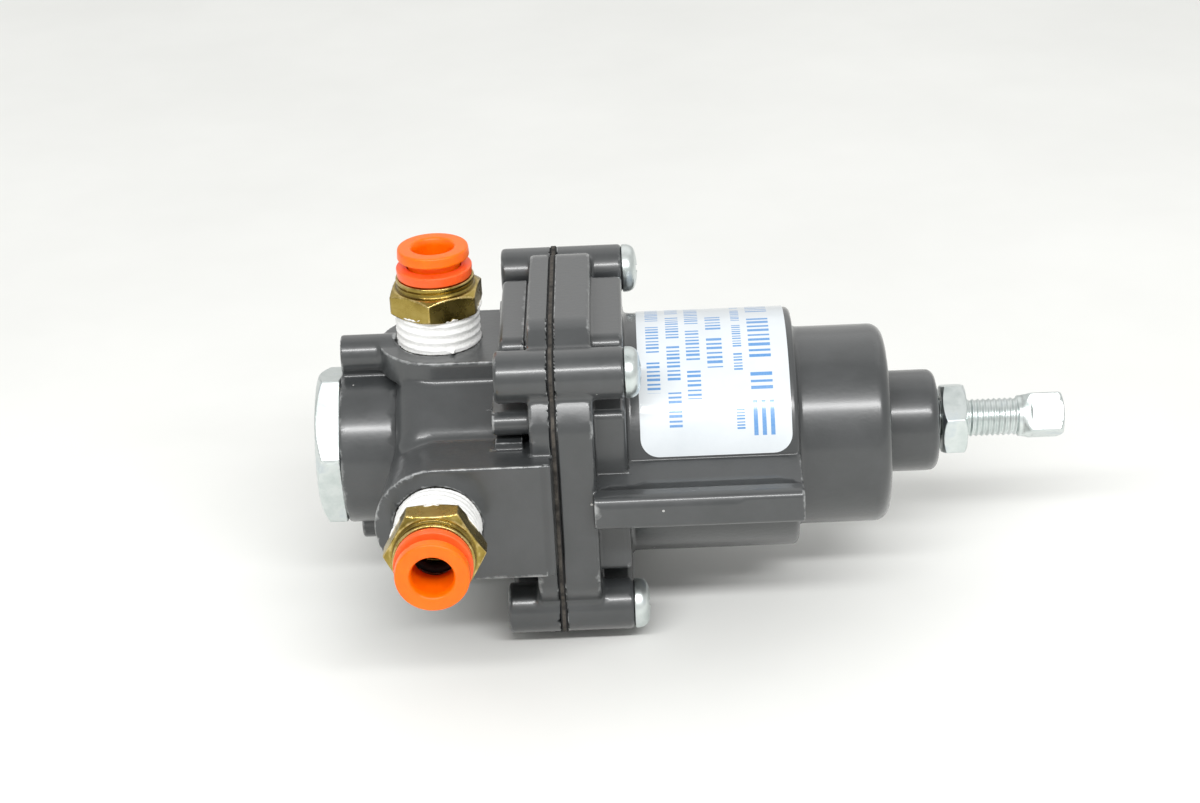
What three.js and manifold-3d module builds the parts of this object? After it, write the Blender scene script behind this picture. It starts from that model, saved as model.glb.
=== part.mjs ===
// Diaphragm air pressure regulator with two push-in tube fittings, lying on its side.
// Millimetres. +X runs along the main axis from the bottom plug to the adjusting screw,
// +Z points up through the gauge port, -Y through the inlet port.
// The origin is the centre of the bottom plug's outer face.
import * as THREE from 'three';
import { mergeVertices } from 'three/addons/utils/BufferGeometryUtils.js';
import Module from 'manifold-3d';

const wasm = await Module();
wasm.setup();

// ---- driving dimensions -------------------------------------------------------------------
const DIAPHRAGM_X = 39.7;           // mid plane of the diaphragm
const DIAPHRAGM_THICK = 1.0;
const PLUG_HEX_AF = 23.8;           // 15/16 in
const PLUG_HEX_TURN = 45;           // degrees
const PLUG_HEX_THICK = 4.2;
const LOWER_R = 13.2;               // lower cylinder of the body casting
const PORT_X = 20.9;                // axis of all four ports
const PORT_BOSS_R = 10;
const SIDE_PORT = 30.6;             // inlet and outlet faces, from the main axis
const GAUGE_PORT = 18.65;           // gauge port faces, from the main axis
const BRACKET_BOSS_R = 3.1;         // tapped bosses for a bracket
const BRACKET_HOLE_R = 1.5;
const BRACKET_END_X = 14;
const UPPER_BRACKET = { offset: 16.5, x0: 4.6 };   // from the main axis, and where each starts
const LOWER_BRACKET = { offset: 14.5, x0: 5.6 };
const PORT_HOLE_R = 6.9;            // mouth of a 1/4 NPT tapped hole
const FLANGE_FLAT = 27;             // half of the square flange, across its flats
const FLANGE_CORNER = 30.4;
const TIER_FLAT = 23.4;             // smaller step behind each flange, with its corners left out
const TIER_SIDE_FLAT = 21.8;
const TIER_HALF_WIDTH = 13.2;
const TIER_SIDE_HALF_WIDTH = 14.4;
const TIER_CORE_R = 21.5;
const BOLT_R = 29.55;               // circle of the four bonnet screws
const LOBE_R = 4.15;
const BODY_LOBE_X = 30.7;           // ends of the lobe posts
const BONNET_LOBE_X = 51.25;
const LABEL_R = 19.86;              // lower, wider cylinder of the bonnet
const LABEL_END_X = 78.84;
const UPPER_R = 16.49;              // upper spring housing
const UPPER_END_X = 94.07;
const NECK_R = 8.46;
const NECK_END_X = 102.6;
const RIB_HALF_HEIGHT = 2.8;        // mounting ribs on the bonnet, square with rounded corners
const RIB_INNER = 25;
const RIB_OUTER = 29.4;
const RIB_CORNER_R = 1.2;
const RIB_OFFSET = 27.4;
const RIB_HOLE_R = 1.5;
const RIB_HOLE_DEPTH = 9;
const SCREW_R = 3.175;              // 1/4-28 adjusting screw
const SCREW_END_X = 123.8;
const SCREW_HEAD_X = 117.2;
const SCREW_HEAD_AF = 6.6;
const SCREW_HEAD_TURN = 54;         // degrees
const NUT_AF = 11.1;                // 7/16 in
const NUT_X = 103.4;
const NUT_THICK = 4.1;
const NUT_TURN = 37.5;              // degrees
const FIT_HEIGHT = 16.4;            // push-in fitting, from the port face to the button's rim
const FIT_HEX_AF = 14;
const TUBE_HOLE_R = 3.225;          // takes a 1/4 in tube
const CHAMBER_FLOOR_X = 34.5;       // floor of the diaphragm chamber
const VALVE_BORE_R = 9.2;
const SEAT_X = 23.4;                // sealing face of the closed valve

const HALF_GASKET = DIAPHRAGM_THICK / 2;
const BODY_FACE_X = DIAPHRAGM_X - HALF_GASKET;
const BONNET_FACE_X = DIAPHRAGM_X + HALF_GASKET;
const FINE = 32;                    // sides of large, middling and small rounds
const ROUND = 20;
const SMALL = 12;
const DEG = Math.PI / 180;

// ---- solids -------------------------------------------------------------------------------
function closedSolid(geometry) {
  const bare = new THREE.BufferGeometry();
  bare.setAttribute('position', geometry.attributes.position);
  bare.setIndex(geometry.index);
  const merged = mergeVertices(bare, 1e-4);
  const p = merged.attributes.position;
  const kept = [];
  let volume = 0;
  const a = new THREE.Vector3();
  const b = new THREE.Vector3();
  const c = new THREE.Vector3();
  for (let i = 0; i < merged.index.count; i += 3) {
    const [i0, i1, i2] = [0, 1, 2].map((k) => merged.index.getX(i + k));
    if (i0 === i1 || i1 === i2 || i2 === i0) continue;
    kept.push(i0, i1, i2);
    a.fromBufferAttribute(p, i0);
    b.fromBufferAttribute(p, i1);
    c.fromBufferAttribute(p, i2);
    volume += a.dot(b.cross(c));
  }
  if (volume < 0) kept.reverse();
  return new wasm.Manifold(new wasm.Mesh({
    numProp: 3,
    vertProperties: Float32Array.from(p.array),
    triVerts: Uint32Array.from(kept),
  }));
}

function moved(geometry, matrix) {
  geometry.applyMatrix4(matrix);
  return closedSolid(geometry);
}

// Turned about the X axis from a profile of [x, radius] points.
function turned(profile, sides = ROUND) {
  const points = profile.map(([x, r]) => new THREE.Vector2(r, x));
  const lathe = new THREE.LatheGeometry(points, sides);
  return moved(lathe, new THREE.Matrix4().makeRotationZ(-Math.PI / 2));
}

function rod(radius, x0, x1, sides = ROUND) {
  return turned([[x0, 0], [x0, radius], [x1, radius], [x1, 0]], sides);
}

function ring(inner, outer, x0, x1, sides = ROUND) {
  return turned([[x0, inner], [x0, outer], [x1, outer], [x1, inner], [x0, inner]], sides);
}

// Drawn in Y and Z, extruded along X.
function prismX(shape, x0, x1, sides = 12) {
  const options = { depth: x1 - x0, bevelEnabled: false, curveSegments: sides };
  const geometry = new THREE.ExtrudeGeometry(shape, options);
  const toX = new THREE.Matrix4().makeBasis(
    new THREE.Vector3(0, 1, 0), new THREE.Vector3(0, 0, 1), new THREE.Vector3(1, 0, 0));
  return moved(geometry, toX.setPosition(x0, 0, 0));
}

function box(x0, x1, y0, y1, z0, z1) {
  const geometry = new THREE.BoxGeometry(x1 - x0, y1 - y0, z1 - z0);
  return moved(geometry, new THREE.Matrix4().makeTranslation(
    (x0 + x1) / 2, (y0 + y1) / 2, (z0 + z1) / 2));
}

const join = (...solids) => solids.reduce((all, next) => all.add(next));
const cut = (base, ...tools) => tools.reduce((left, tool) => left.subtract(tool), base);
const shifted = (solid, y, z) => solid.translate([0, y, z]);

// Turns a solid drawn around +Z so that it points at an angle from +Z towards -Y.
const aboutX = (solid, degrees) => solid.rotate([degrees, 0, 0]);

// Turns a solid drawn along +X from the origin so that it stands at PORT_X along +Z.
const stoodUp = (solid) => solid.rotate([0, -90, 0]).translate([PORT_X, 0, 0]);

function roundedSquare(flat, corner) {
  const shape = new THREE.Shape();
  const half = Math.acos(flat / corner);
  for (let k = 0; k < 4; k += 1) {
    const side = (k * Math.PI) / 2;
    shape.absarc(0, 0, corner, side + half, side + Math.PI / 2 - half, false);
  }
  return shape;
}

function hexagon(acrossFlats, turn = 0) {
  const shape = new THREE.Shape();
  const corner = acrossFlats / Math.sqrt(3);
  for (let k = 0; k < 6; k += 1) {
    const angle = turn * DEG + (k * Math.PI) / 3;
    shape[k ? 'lineTo' : 'moveTo'](corner * Math.cos(angle), corner * Math.sin(angle));
  }
  return shape;
}

// Hexagon bar with its end edges chamfered at 30 degrees.
function hexNut(acrossFlats, x0, x1, turn = 0) {
  const corner = acrossFlats / Math.sqrt(3);
  const flat = acrossFlats / 2;
  const fall = (corner - flat) * 0.58;
  const envelope = turned([[x0, 0], [x0, flat], [x0 + fall, corner + 0.01],
    [x1 - fall, corner + 0.01], [x1, flat], [x1, 0]], FINE);
  return prismX(hexagon(acrossFlats, turn), x0, x1).intersect(envelope);
}

const LOBE_ANGLES = [45, 135, 225, 315];
const lobePlace = (angle) => [BOLT_R * Math.cos(angle * DEG), BOLT_R * Math.sin(angle * DEG)];

function atLobes(solid) {
  return join(...LOBE_ANGLES.map((angle) => shifted(solid, ...lobePlace(angle))));
}

class Helix extends THREE.Curve {
  constructor(radius, x0, x1, turns) {
    super();
    Object.assign(this, { radius, x0, x1, turns });
  }

  getPoint(t, target = new THREE.Vector3()) {
    const angle = t * this.turns * 2 * Math.PI;
    return target.set(this.x0 + (this.x1 - this.x0) * t,
      this.radius * Math.cos(angle), this.radius * Math.sin(angle));
  }
}

function coilSpring(meanR, wireR, x0, x1, turns) {
  const wire = new THREE.Shape().absarc(0, 0, wireR, 0, 2 * Math.PI, false);
  return closedSolid(new THREE.ExtrudeGeometry(wire, {
    steps: Math.round(turns * 8),
    extrudePath: new Helix(meanR, x0 + wireR, x1 - wireR, turns),
    curveSegments: 3,
    bevelEnabled: false,
  }));
}

// ---- castings -----------------------------------------------------------------------------
// One port boss standing on +Z: a D-shaped column that widens to a lip at the port face.
function portBoss(face, columnR, lip) {
  const column = (radius, z0, z1) => {
    const shape = new THREE.Shape();
    shape.absarc(PORT_X, 0, radius, Math.PI / 2, (3 * Math.PI) / 2, false);
    shape.lineTo(CHAMBER_FLOOR_X, -radius);
    shape.lineTo(CHAMBER_FLOOR_X, radius);
    const geometry = new THREE.ExtrudeGeometry(shape,
      { depth: z1 - z0, bevelEnabled: false, curveSegments: 10 });
    return moved(geometry, new THREE.Matrix4().makeTranslation(0, 0, z0));
  };
  return join(column(columnR, 0, face - lip + 0.1), column(PORT_BOSS_R, face - lip, face));
}

// The castings' step behind a flange: the flats facing up and down.
function tierFlats(x0, x1) {
  return box(x0, x1, -TIER_HALF_WIDTH, TIER_HALF_WIDTH, -TIER_FLAT, TIER_FLAT);
}

// The same step's flats facing the inlet and outlet sides.
function tierSides(x0, x1) {
  return box(x0, x1, -TIER_SIDE_FLAT, TIER_SIDE_FLAT, -TIER_SIDE_HALF_WIDTH, TIER_SIDE_HALF_WIDTH);
}

// Metal between neighbouring port bosses, with sloping sides.
function gusset() {
  const shape = new THREE.Shape();
  shape.moveTo(10, 15.3).lineTo(-10, 15.3).lineTo(-18.5, 9.5).lineTo(-18.5, -9.5);
  shape.lineTo(-10, -15.3).lineTo(10, -15.3).lineTo(18.5, -9.5).lineTo(18.5, 9.5);
  return prismX(shape, 14.5, 36);
}

function gaugeSide(bracket) {
  const post = shifted(rod(BRACKET_BOSS_R, bracket.x0, BRACKET_END_X, SMALL), 0, bracket.offset);
  const web = box(bracket.x0, BRACKET_END_X, -1.8, 1.8, 10, bracket.offset);
  return join(portBoss(GAUGE_PORT, 7.6, 4.2), post, web);
}

function bodyCasting() {
  // The inlet and outlet bosses run right up to the diaphragm.
  const sideBoss = join(portBoss(SIDE_PORT, PORT_BOSS_R, 4),
    box(30, BODY_FACE_X, -PORT_BOSS_R, PORT_BOSS_R, 20, SIDE_PORT));
  const smallBoss = join(shifted(rod(2, 30, 37, SMALL), -21.6, 13.3),
    box(30, 37, -21.6, -12, 11.3, 15.3));
  const outside = join(
    rod(LOWER_R, PLUG_HEX_THICK, 32, FINE),
    aboutX(sideBoss, 90), aboutX(sideBoss, -90),
    gaugeSide(UPPER_BRACKET), aboutX(gaugeSide(LOWER_BRACKET), 180),
    gusset(),
    tierFlats(31.2, 36.2),
    prismX(roundedSquare(FLANGE_FLAT, FLANGE_CORNER), 35.9, BODY_FACE_X, 6),
    atLobes(rod(LOBE_R, BODY_LOBE_X, BODY_FACE_X, SMALL)),
    smallBoss,
  );
  const portHole = (face, depth) => stoodUp(rod(PORT_HOLE_R, face - depth, face + 1, ROUND));
  const crossPassage = shifted(rod(3.4, PORT_X, CHAMBER_FLOOR_X + 1, SMALL), 16.4, 0);
  const gaugePassage = shifted(rod(2.3, PORT_X, CHAMBER_FLOOR_X + 1, SMALL), 0, 15);
  const screwHole = rod(2.0, BODY_LOBE_X + 1.5, BODY_FACE_X + 1, SMALL);
  const bracketHole = rod(BRACKET_HOLE_R, PLUG_HEX_THICK, 11.5, SMALL);
  return cut(outside,
    rod(VALVE_BORE_R, 0, SEAT_X - 0.2, FINE),
    rod(5.3, SEAT_X - 1, 27.2, ROUND),
    rod(3.4, 27, 31, SMALL),
    rod(10.5, 30.4, BODY_FACE_X + 1, ROUND),
    rod(20.5, CHAMBER_FLOOR_X, BODY_FACE_X + 1, FINE),
    aboutX(portHole(SIDE_PORT, 11), 90),
    aboutX(stoodUp(rod(4, 6, 22, SMALL)), 90),
    aboutX(portHole(SIDE_PORT, 11), -90),
    aboutX(stoodUp(rod(4, 14, 22, SMALL)), -90),
    crossPassage,
    portHole(GAUGE_PORT, 6.2), gaugePassage,
    aboutX(portHole(GAUGE_PORT, 6.2), 180), aboutX(gaugePassage, 180),
    atLobes(screwHole),
    shifted(bracketHole, 0, UPPER_BRACKET.offset), shifted(bracketHole, 0, -LOWER_BRACKET.offset));
}

// A round rib on +Z, on a web that spreads towards the bonnet.
function bonnetRib() {
  const web = new THREE.Shape();
  web.moveTo(-4.9, 17).lineTo(4.9, 17).lineTo(4.4, 19.4).lineTo(2.35, 25.5);
  web.lineTo(-2.35, 25.5).lineTo(-4.4, 19.4);
  const half = RIB_HALF_HEIGHT - RIB_CORNER_R;
  const outer = RIB_OUTER - RIB_CORNER_R;
  const bar = new THREE.Shape();
  bar.moveTo(-RIB_HALF_HEIGHT, RIB_INNER).lineTo(RIB_HALF_HEIGHT, RIB_INNER);
  bar.absarc(half, outer, RIB_CORNER_R, 0, Math.PI / 2);
  bar.absarc(-half, outer, RIB_CORNER_R, Math.PI / 2, Math.PI);
  return join(prismX(web, 46, LABEL_END_X), prismX(bar, 46, LABEL_END_X));
}

function bonnetCasting() {
  const outside = join(
    prismX(roundedSquare(FLANGE_FLAT, FLANGE_CORNER), BONNET_FACE_X, 46, 6),
    tierFlats(45.9, 51.1), tierSides(45.9, 51.1),
    rod(TIER_CORE_R, 45.9, 51.1, FINE),
    atLobes(rod(LOBE_R, BONNET_FACE_X, BONNET_LOBE_X, SMALL)),
    rod(LABEL_R, 45, LABEL_END_X, FINE),
    turned([[78, 0], [78, UPPER_R], [UPPER_END_X - 2, UPPER_R], [UPPER_END_X - 0.6, UPPER_R - 0.6],
      [UPPER_END_X, UPPER_R - 2], [UPPER_END_X, 0]], FINE),
    turned([[93, 0], [93, NECK_R], [NECK_END_X - 1.2, NECK_R], [NECK_END_X, NECK_R - 1.2],
      [NECK_END_X, 0]], ROUND),
    aboutX(bonnetRib(), 90), aboutX(bonnetRib(), -90),
  );
  const ribHole = rod(RIB_HOLE_R, LABEL_END_X - RIB_HOLE_DEPTH, LABEL_END_X + 1, SMALL);
  return cut(outside,
    rod(20.5, BONNET_FACE_X - 1, 45, FINE),
    rod(16.6, 44, 76, FINE),
    rod(13.4, 75, 91.4, ROUND),
    rod(SCREW_R + 0.15, 91, NECK_END_X + 1, SMALL),
    aboutX(shifted(rod(1.2, 0, 6, SMALL).rotate([0, -90, 0]).translate([57, 0, 0]), 0, 15), 180),
    atLobes(rod(2.2, BONNET_FACE_X - 1, BONNET_LOBE_X + 1, SMALL)),
    shifted(ribHole, -RIB_OFFSET, 0), shifted(ribHole, RIB_OFFSET, 0));
}

// ---- diaphragm and its plates -------------------------------------------------------------
function diaphragm() {
  const sheet = join(
    prismX(roundedSquare(FLANGE_FLAT - 0.2, FLANGE_CORNER - 0.1), BODY_FACE_X, BONNET_FACE_X, 6),
    atLobes(rod(LOBE_R + 0.4, BODY_FACE_X, BONNET_FACE_X, SMALL)));
  return cut(sheet, rod(2.3, BODY_FACE_X - 1, BONNET_FACE_X + 1, SMALL),
    atLobes(rod(2.2, BODY_FACE_X - 1, BONNET_FACE_X + 1, SMALL)));
}

const PLATE_GAP = 0.05;
const STUD_R = 2.0;

function reliefSeat() {
  const top = BODY_FACE_X - PLATE_GAP;
  return turned([[top - 3, 0], [top - 3, 3], [top - 1.6, 3], [top - 1.6, 9], [top, 9],
    [top, STUD_R], [47.4, STUD_R], [47.4, 0]]);
}

function pressurePlate() {
  const x0 = BONNET_FACE_X + PLATE_GAP;
  return turned([[x0, STUD_R + 0.2], [x0, 15.5], [x0 + 1.5, 15.5], [x0 + 1.5, 8.2], [x0 + 3.6, 8.2],
    [x0 + 3.6, STUD_R + 0.2], [x0, STUD_R + 0.2]], FINE);
}

function diaphragmNut() {
  const x0 = BONNET_FACE_X + PLATE_GAP + 3.65;
  return cut(hexNut(8, x0, x0 + 2.6), rod(STUD_R + 0.1, x0 - 1, x0 + 4, SMALL));
}

// ---- adjusting screw, spring seat and nut --------------------------------------------------
const SPRING_SEAT_X = 86.4;

function springSeat() {
  const x = SPRING_SEAT_X;
  return turned([[x - 2.4, 0], [x - 2.4, 8.6], [x, 8.6], [x, 12.6], [x + 1.8, 12.6],
    [x + 2.6, 6.5], [x + 2.6, 3.0], [x + 0.7, 0]], FINE);
}

function adjustingScrew() {
  const tip = SPRING_SEAT_X + 0.8;
  const shaft = turned([[tip, 0], [tip + 2.1, 2.5], [tip + 2.9, SCREW_R - 0.02],
    [SCREW_HEAD_X + 0.5, SCREW_R - 0.02], [SCREW_HEAD_X + 0.5, 0]], SMALL);
  const half = SCREW_HEAD_AF / 2;
  const square = new THREE.Shape();
  square.moveTo(-half, -half).lineTo(half, -half).lineTo(half, half).lineTo(-half, half);
  const envelope = turned([[SCREW_HEAD_X, 0], [SCREW_HEAD_X, half * 1.12],
    [SCREW_HEAD_X + 1.0, half * 1.4], [SCREW_END_X - 1.0, half * 1.4],
    [SCREW_END_X, half * 1.08], [SCREW_END_X, 0]], ROUND);
  const head = prismX(square, SCREW_HEAD_X, SCREW_END_X).intersect(envelope);
  return join(shaft, head.rotate([SCREW_HEAD_TURN, 0, 0]));
}

function lockNut() {
  const nut = hexNut(NUT_AF, NUT_X, NUT_X + NUT_THICK, NUT_TURN);
  return cut(nut, rod(SCREW_R + 0.1, NUT_X - 1, NUT_X + NUT_THICK + 1, SMALL));
}

// ---- valve and bottom plug -----------------------------------------------------------------
function valveSeat() {
  return turned([[SEAT_X, 2.6], [SEAT_X, 3.3], [SEAT_X + 0.6, 5.2], [SEAT_X + 3.7, 5.2],
    [SEAT_X + 3.7, 2.6], [SEAT_X, 2.6]]);
}

function valvePoppet() {
  const face = SEAT_X - 0.05;
  return turned([[11, 0], [11, 1.6], [face - 4.4, 1.6], [face - 4.4, 5.4], [face - 0.9, 5.4],
    [face - 0.9, 1.3], [36.0, 1.3], [36.0, 0]]);
}

function valveFace() {
  return ring(1.4, 5.0, SEAT_X - 0.9, SEAT_X - 0.05);
}

function bottomPlug() {
  const head = hexNut(PLUG_HEX_AF, 0, PLUG_HEX_THICK, PLUG_HEX_TURN);
  const shank = rod(VALVE_BORE_R - 0.25, PLUG_HEX_THICK - 0.1, 12, FINE);
  const groove = ring(8.0, 10.0, PLUG_HEX_THICK + 0.4, PLUG_HEX_THICK + 2.4, FINE);
  const springPocket = ring(3.1, 6.6, 8.4, 13, ROUND);
  const guideHole = rod(1.75, 7.5, 13, SMALL);
  return cut(join(head, shank), groove, springPocket, guideHole);
}

function plugORing() {
  const middle = PLUG_HEX_THICK + 1.4;
  const profile = [];
  for (let k = 0; k <= 6; k += 1) {
    const angle = (k % 6) * 60 * DEG;
    profile.push([middle + 0.85 * Math.cos(angle), 8.6 + 0.52 * Math.sin(angle)]);
  }
  return turned(profile, FINE);
}

function pipePlug() {
  const socket = prismX(hexagon(6.35), GAUGE_PORT - 5.6, GAUGE_PORT + 1);
  const blank = turned([[GAUGE_PORT - 6, 0], [GAUGE_PORT - 6, 6.3], [GAUGE_PORT - 0.9, 6.6],
    [GAUGE_PORT - 0.4, 6.1], [GAUGE_PORT - 0.4, 0]]);
  return aboutX(stoodUp(cut(blank, socket)), 180);
}

// ---- fasteners and label -------------------------------------------------------------------
function bonnetScrew() {
  const seat = BONNET_LOBE_X;
  const blank = turned([[BODY_LOBE_X + 3, 0], [BODY_LOBE_X + 3, 1.85], [seat, 1.85], [seat, 4.1],
    [seat + 1.2, 4.1], [seat + 2.2, 3.5], [seat + 2.8, 2.0], [seat + 2.9, 0]], 20);
  const slots = join(box(seat + 1.5, seat + 4, -2.4, 2.4, -0.5, 0.5),
    box(seat + 1.5, seat + 4, -0.5, 0.5, -2.4, 2.4));
  return cut(blank, slots);
}

function nameplateLabel() {
  const [low, high] = [14, 150];
  const [inner, outer] = [LABEL_R + 0.05, LABEL_R + 0.25];
  const angle = (degrees) => Math.PI - degrees * DEG;
  const strip = new THREE.Shape();
  strip.absarc(0, 0, outer, angle(low), angle(high), true);
  strip.absarc(0, 0, inner, angle(high), angle(low), false);
  return prismX(strip, 53.3, 77.6, 20);
}

// ---- push-in tube fitting, along +X from the port face -------------------------------------
const HEX_START = 5.6;
const HEX_END = 9.7;
const NECK_END = 11.4;
const RIM_START = 14.6;

function fittingBody(turn) {
  const blank = join(
    turned([[-5.8, 0], [-5.8, 6.1], [-5.2, 6.45], [HEX_START + 0.1, 6.45], [HEX_START + 0.1, 0]]),
    hexNut(FIT_HEX_AF, HEX_START, HEX_END, turn),
    turned([[9, 0], [9, 6.4], [NECK_END, 6.4], [NECK_END, 0]]));
  const bore = turned([[-7, 0], [-7, 3.0], [1, 3.0], [1, 3.3], [4.6, 3.3], [4.6, 5.3],
    [NECK_END + 1, 5.3], [NECK_END + 1, 0]]);
  return cut(blank, bore);
}

const threadTape = () => ring(6.55, 6.88, 0.05, HEX_START - 0.1);
const tubeSeal = () => ring(3.35, 5.2, 4.7, 6.9);
const collet = () => ring(4.0, 5.2, 7.05, 7.85);
const guideRing = () => turned([[8.1, 4.45], [8.1, 5.2], [NECK_END + 0.05, 5.2],
  [NECK_END + 0.05, 6.2], [13.3, 6.2], [13.3, 4.45], [8.1, 4.45]]);
const releaseButton = () => turned([[9.15, TUBE_HOLE_R], [9.15, 4.3], [RIM_START, 4.3],
  [RIM_START, 5.9], [FIT_HEIGHT - 0.3, 5.9], [FIT_HEIGHT, 5.5], [FIT_HEIGHT, TUBE_HOLE_R],
  [9.15, TUBE_HOLE_R]]);

// ---- materials -----------------------------------------------------------------------------
const finish = (color, roughness, metalness) => () => new THREE.MeshStandardMaterial(
  { color, roughness, metalness });
const paint = finish(0x5b5d60, 0.45, 0.1);
const zinc = finish(0xc9ced0, 0.3, 0.9);
const steel = finish(0x9aa0a3, 0.4, 0.9);
const brass = finish(0x9a7c34, 0.35, 0.9);
const aluminium = finish(0xb9bcc0, 0.4, 0.8);
const rubber = finish(0x2a2826, 0.8, 0);
const fabricRubber = finish(0x4a443c, 0.85, 0);
const tape = finish(0xf4f4f2, 0.6, 0);
const orange = finish(0xff7d23, 0.4, 0);
const salmon = finish(0xff734b, 0.4, 0);
const labelFilm = finish(0xf6f8fa, 0.3, 0);

function node(name, solid, material) {
  const { vertProperties, triVerts } = solid.getMesh();
  const geometry = new THREE.BufferGeometry();
  geometry.setAttribute('position', new THREE.BufferAttribute(vertProperties, 3));
  geometry.setIndex(new THREE.BufferAttribute(triVerts, 1));
  geometry.computeVertexNormals();
  const mesh = new THREE.Mesh(geometry, material());
  mesh.name = name;
  return mesh;
}

function tubeFitting(name, hexTurn) {
  const group = new THREE.Group();
  group.add(
    node(`${name}_fitting_body`, fittingBody(hexTurn), brass),
    node(`${name}_thread_tape`, threadTape(), tape),
    node(`${name}_tube_seal`, tubeSeal(), rubber),
    node(`${name}_collet`, collet(), steel),
    node(`${name}_guide_ring`, guideRing(), salmon),
    node(`${name}_release_button`, releaseButton(), orange));
  return group;
}

const regulator = new THREE.Group();
regulator.add(
  node('body_casting', bodyCasting(), paint),
  node('bonnet', bonnetCasting(), paint),
  node('diaphragm', diaphragm(), fabricRubber),
  node('relief_seat', reliefSeat(), brass),
  node('pressure_plate', pressurePlate(), aluminium),
  node('diaphragm_nut', diaphragmNut(), zinc),
  node('range_spring', coilSpring(10.5, 1.1, BONNET_FACE_X + 1.7, SPRING_SEAT_X - 0.1, 7), steel),
  node('spring_seat', springSeat(), zinc),
  node('adjusting_screw', adjustingScrew(), zinc),
  node('lock_nut', lockNut(), zinc),
  node('valve_seat', valveSeat(), brass),
  node('valve_poppet', valvePoppet(), brass),
  node('valve_face', valveFace(), rubber),
  node('valve_spring', coilSpring(4.6, 0.4, 8.5, SEAT_X - 4.6, 5), steel),
  node('bottom_plug', bottomPlug(), zinc),
  node('plug_o_ring', plugORing(), rubber),
  node('pipe_plug', pipePlug(), zinc),
  node('nameplate_label', nameplateLabel(), labelFilm));

LOBE_ANGLES.forEach((angle, k) => {
  const screw = node(`bonnet_screw_${k + 1}`, bonnetScrew(), zinc);
  const [y, z] = lobePlace(angle);
  screw.position.set(0, y, z);
  regulator.add(screw);
});

const gaugeFitting = tubeFitting('gauge', 54.5);
gaugeFitting.position.set(PORT_X, 0, GAUGE_PORT);
gaugeFitting.rotation.y = -Math.PI / 2;
regulator.add(gaugeFitting);

const inletFitting = tubeFitting('inlet', 0);
inletFitting.position.set(PORT_X, -SIDE_PORT, 0);
inletFitting.rotation.z = -Math.PI / 2;
regulator.add(inletFitting);

export default regulator;
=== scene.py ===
"""Screw-adjusted air pressure regulator lying on a pale studio floor.

The castings and machined pieces are distance fields in millimetres, skinned to a mesh; springs, threads
and the pattern of cover screws are Geometry Nodes; the rest is turned from profiles.
"""
import math

import bmesh
import bpy
import numpy as np
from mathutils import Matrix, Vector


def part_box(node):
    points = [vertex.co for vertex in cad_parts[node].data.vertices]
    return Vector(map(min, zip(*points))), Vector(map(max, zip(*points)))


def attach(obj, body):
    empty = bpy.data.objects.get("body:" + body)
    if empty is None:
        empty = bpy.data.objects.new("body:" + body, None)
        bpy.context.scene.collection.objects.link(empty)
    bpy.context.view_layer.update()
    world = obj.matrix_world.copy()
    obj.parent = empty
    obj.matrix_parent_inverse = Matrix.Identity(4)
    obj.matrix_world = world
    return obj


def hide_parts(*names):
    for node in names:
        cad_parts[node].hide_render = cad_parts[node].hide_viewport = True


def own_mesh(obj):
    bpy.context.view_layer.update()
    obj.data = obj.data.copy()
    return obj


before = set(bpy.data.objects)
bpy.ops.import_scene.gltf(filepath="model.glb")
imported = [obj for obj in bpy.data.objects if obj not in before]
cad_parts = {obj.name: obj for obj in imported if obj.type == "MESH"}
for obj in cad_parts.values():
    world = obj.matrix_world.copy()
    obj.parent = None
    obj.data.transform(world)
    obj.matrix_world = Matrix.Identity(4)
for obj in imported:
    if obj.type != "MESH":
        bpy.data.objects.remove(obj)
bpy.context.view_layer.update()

import openvdb
from mathutils import Matrix, Vector

MM = 0.001


def cad_box(node):
    """A node's lowest and highest corner in millimetres."""
    low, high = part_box(node)
    return [v / MM for v in low], [v / MM for v in high]


# ---- driving dimensions, millimetres ---------------------------------------------------------
(BODY_X0, BODY_Y0, BODY_Z0), (BODY_X1, BODY_Y1, BODY_Z1) = cad_box("body_casting")
(BONNET_X0, _, _), (NECK_END, _, _) = cad_box("bonnet")
_, (PLUG_SHANK_END, _, _) = cad_box("bottom_plug")
(LABEL_X0, _, _), (LABEL_X1, _, _) = cad_box("nameplate_label")
(NUT_X0, _, _), (NUT_X1, _, _) = cad_box("lock_nut")
(SCREW_TIP, _, _), (SCREW_END, _, _) = cad_box("adjusting_screw")
(INLET_X0, INLET_TIP, _), (INLET_X1, _, _) = cad_box("inlet_release_button")
(LOBE_HEAD_X0, _, _), _ = cad_box("bonnet_screw_1")
(SPRING_X0, _, _), (SPRING_X1, _, _) = cad_box("range_spring")
(VALVE_SPRING_X0, _, _), (VALVE_SPRING_X1, _, _) = cad_box("valve_spring")

PORT_X = (INLET_X0 + INLET_X1) / 2
SIDE_PORT = -BODY_Y0                 # inlet and outlet faces, from the main axis
GAUGE_PORT = 18.65                   # gauge port faces, from the main axis
PORT_R = 10.0
FIT_HEIGHT = -INLET_TIP - SIDE_PORT  # fitting, from the port face to the rim
FLANGE_FLAT = BODY_Z1
FLANGE_CORNER = 30.4
TIER_FLAT = 23.4
TIER_SIDE_FLAT = 21.8
TIER_HALF = 13.2
TIER_SIDE_HALF = 14.4
TIER_CORE = 21.5
BOLT_R = 29.55
LOBE_R = 4.15
LOBE_HEAD_SEAT = 51.25
LOWER_R = 13.2
PLUG_HEX = 23.8
PLUG_TURN = 45.0
PLUG_HEAD_END = 4.2
BRACKET_R = 3.1
UPPER_BRACKET = (16.5, 4.6)          # offset from the main axis, and where it starts along X
LOWER_BRACKET = (-14.5, 5.6)
BRACKET_END = 14
BRACKET_HOLE_END = 11.5
MOUNT_HOLE_R = 1.5                   # holes for number 6 screws
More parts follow.
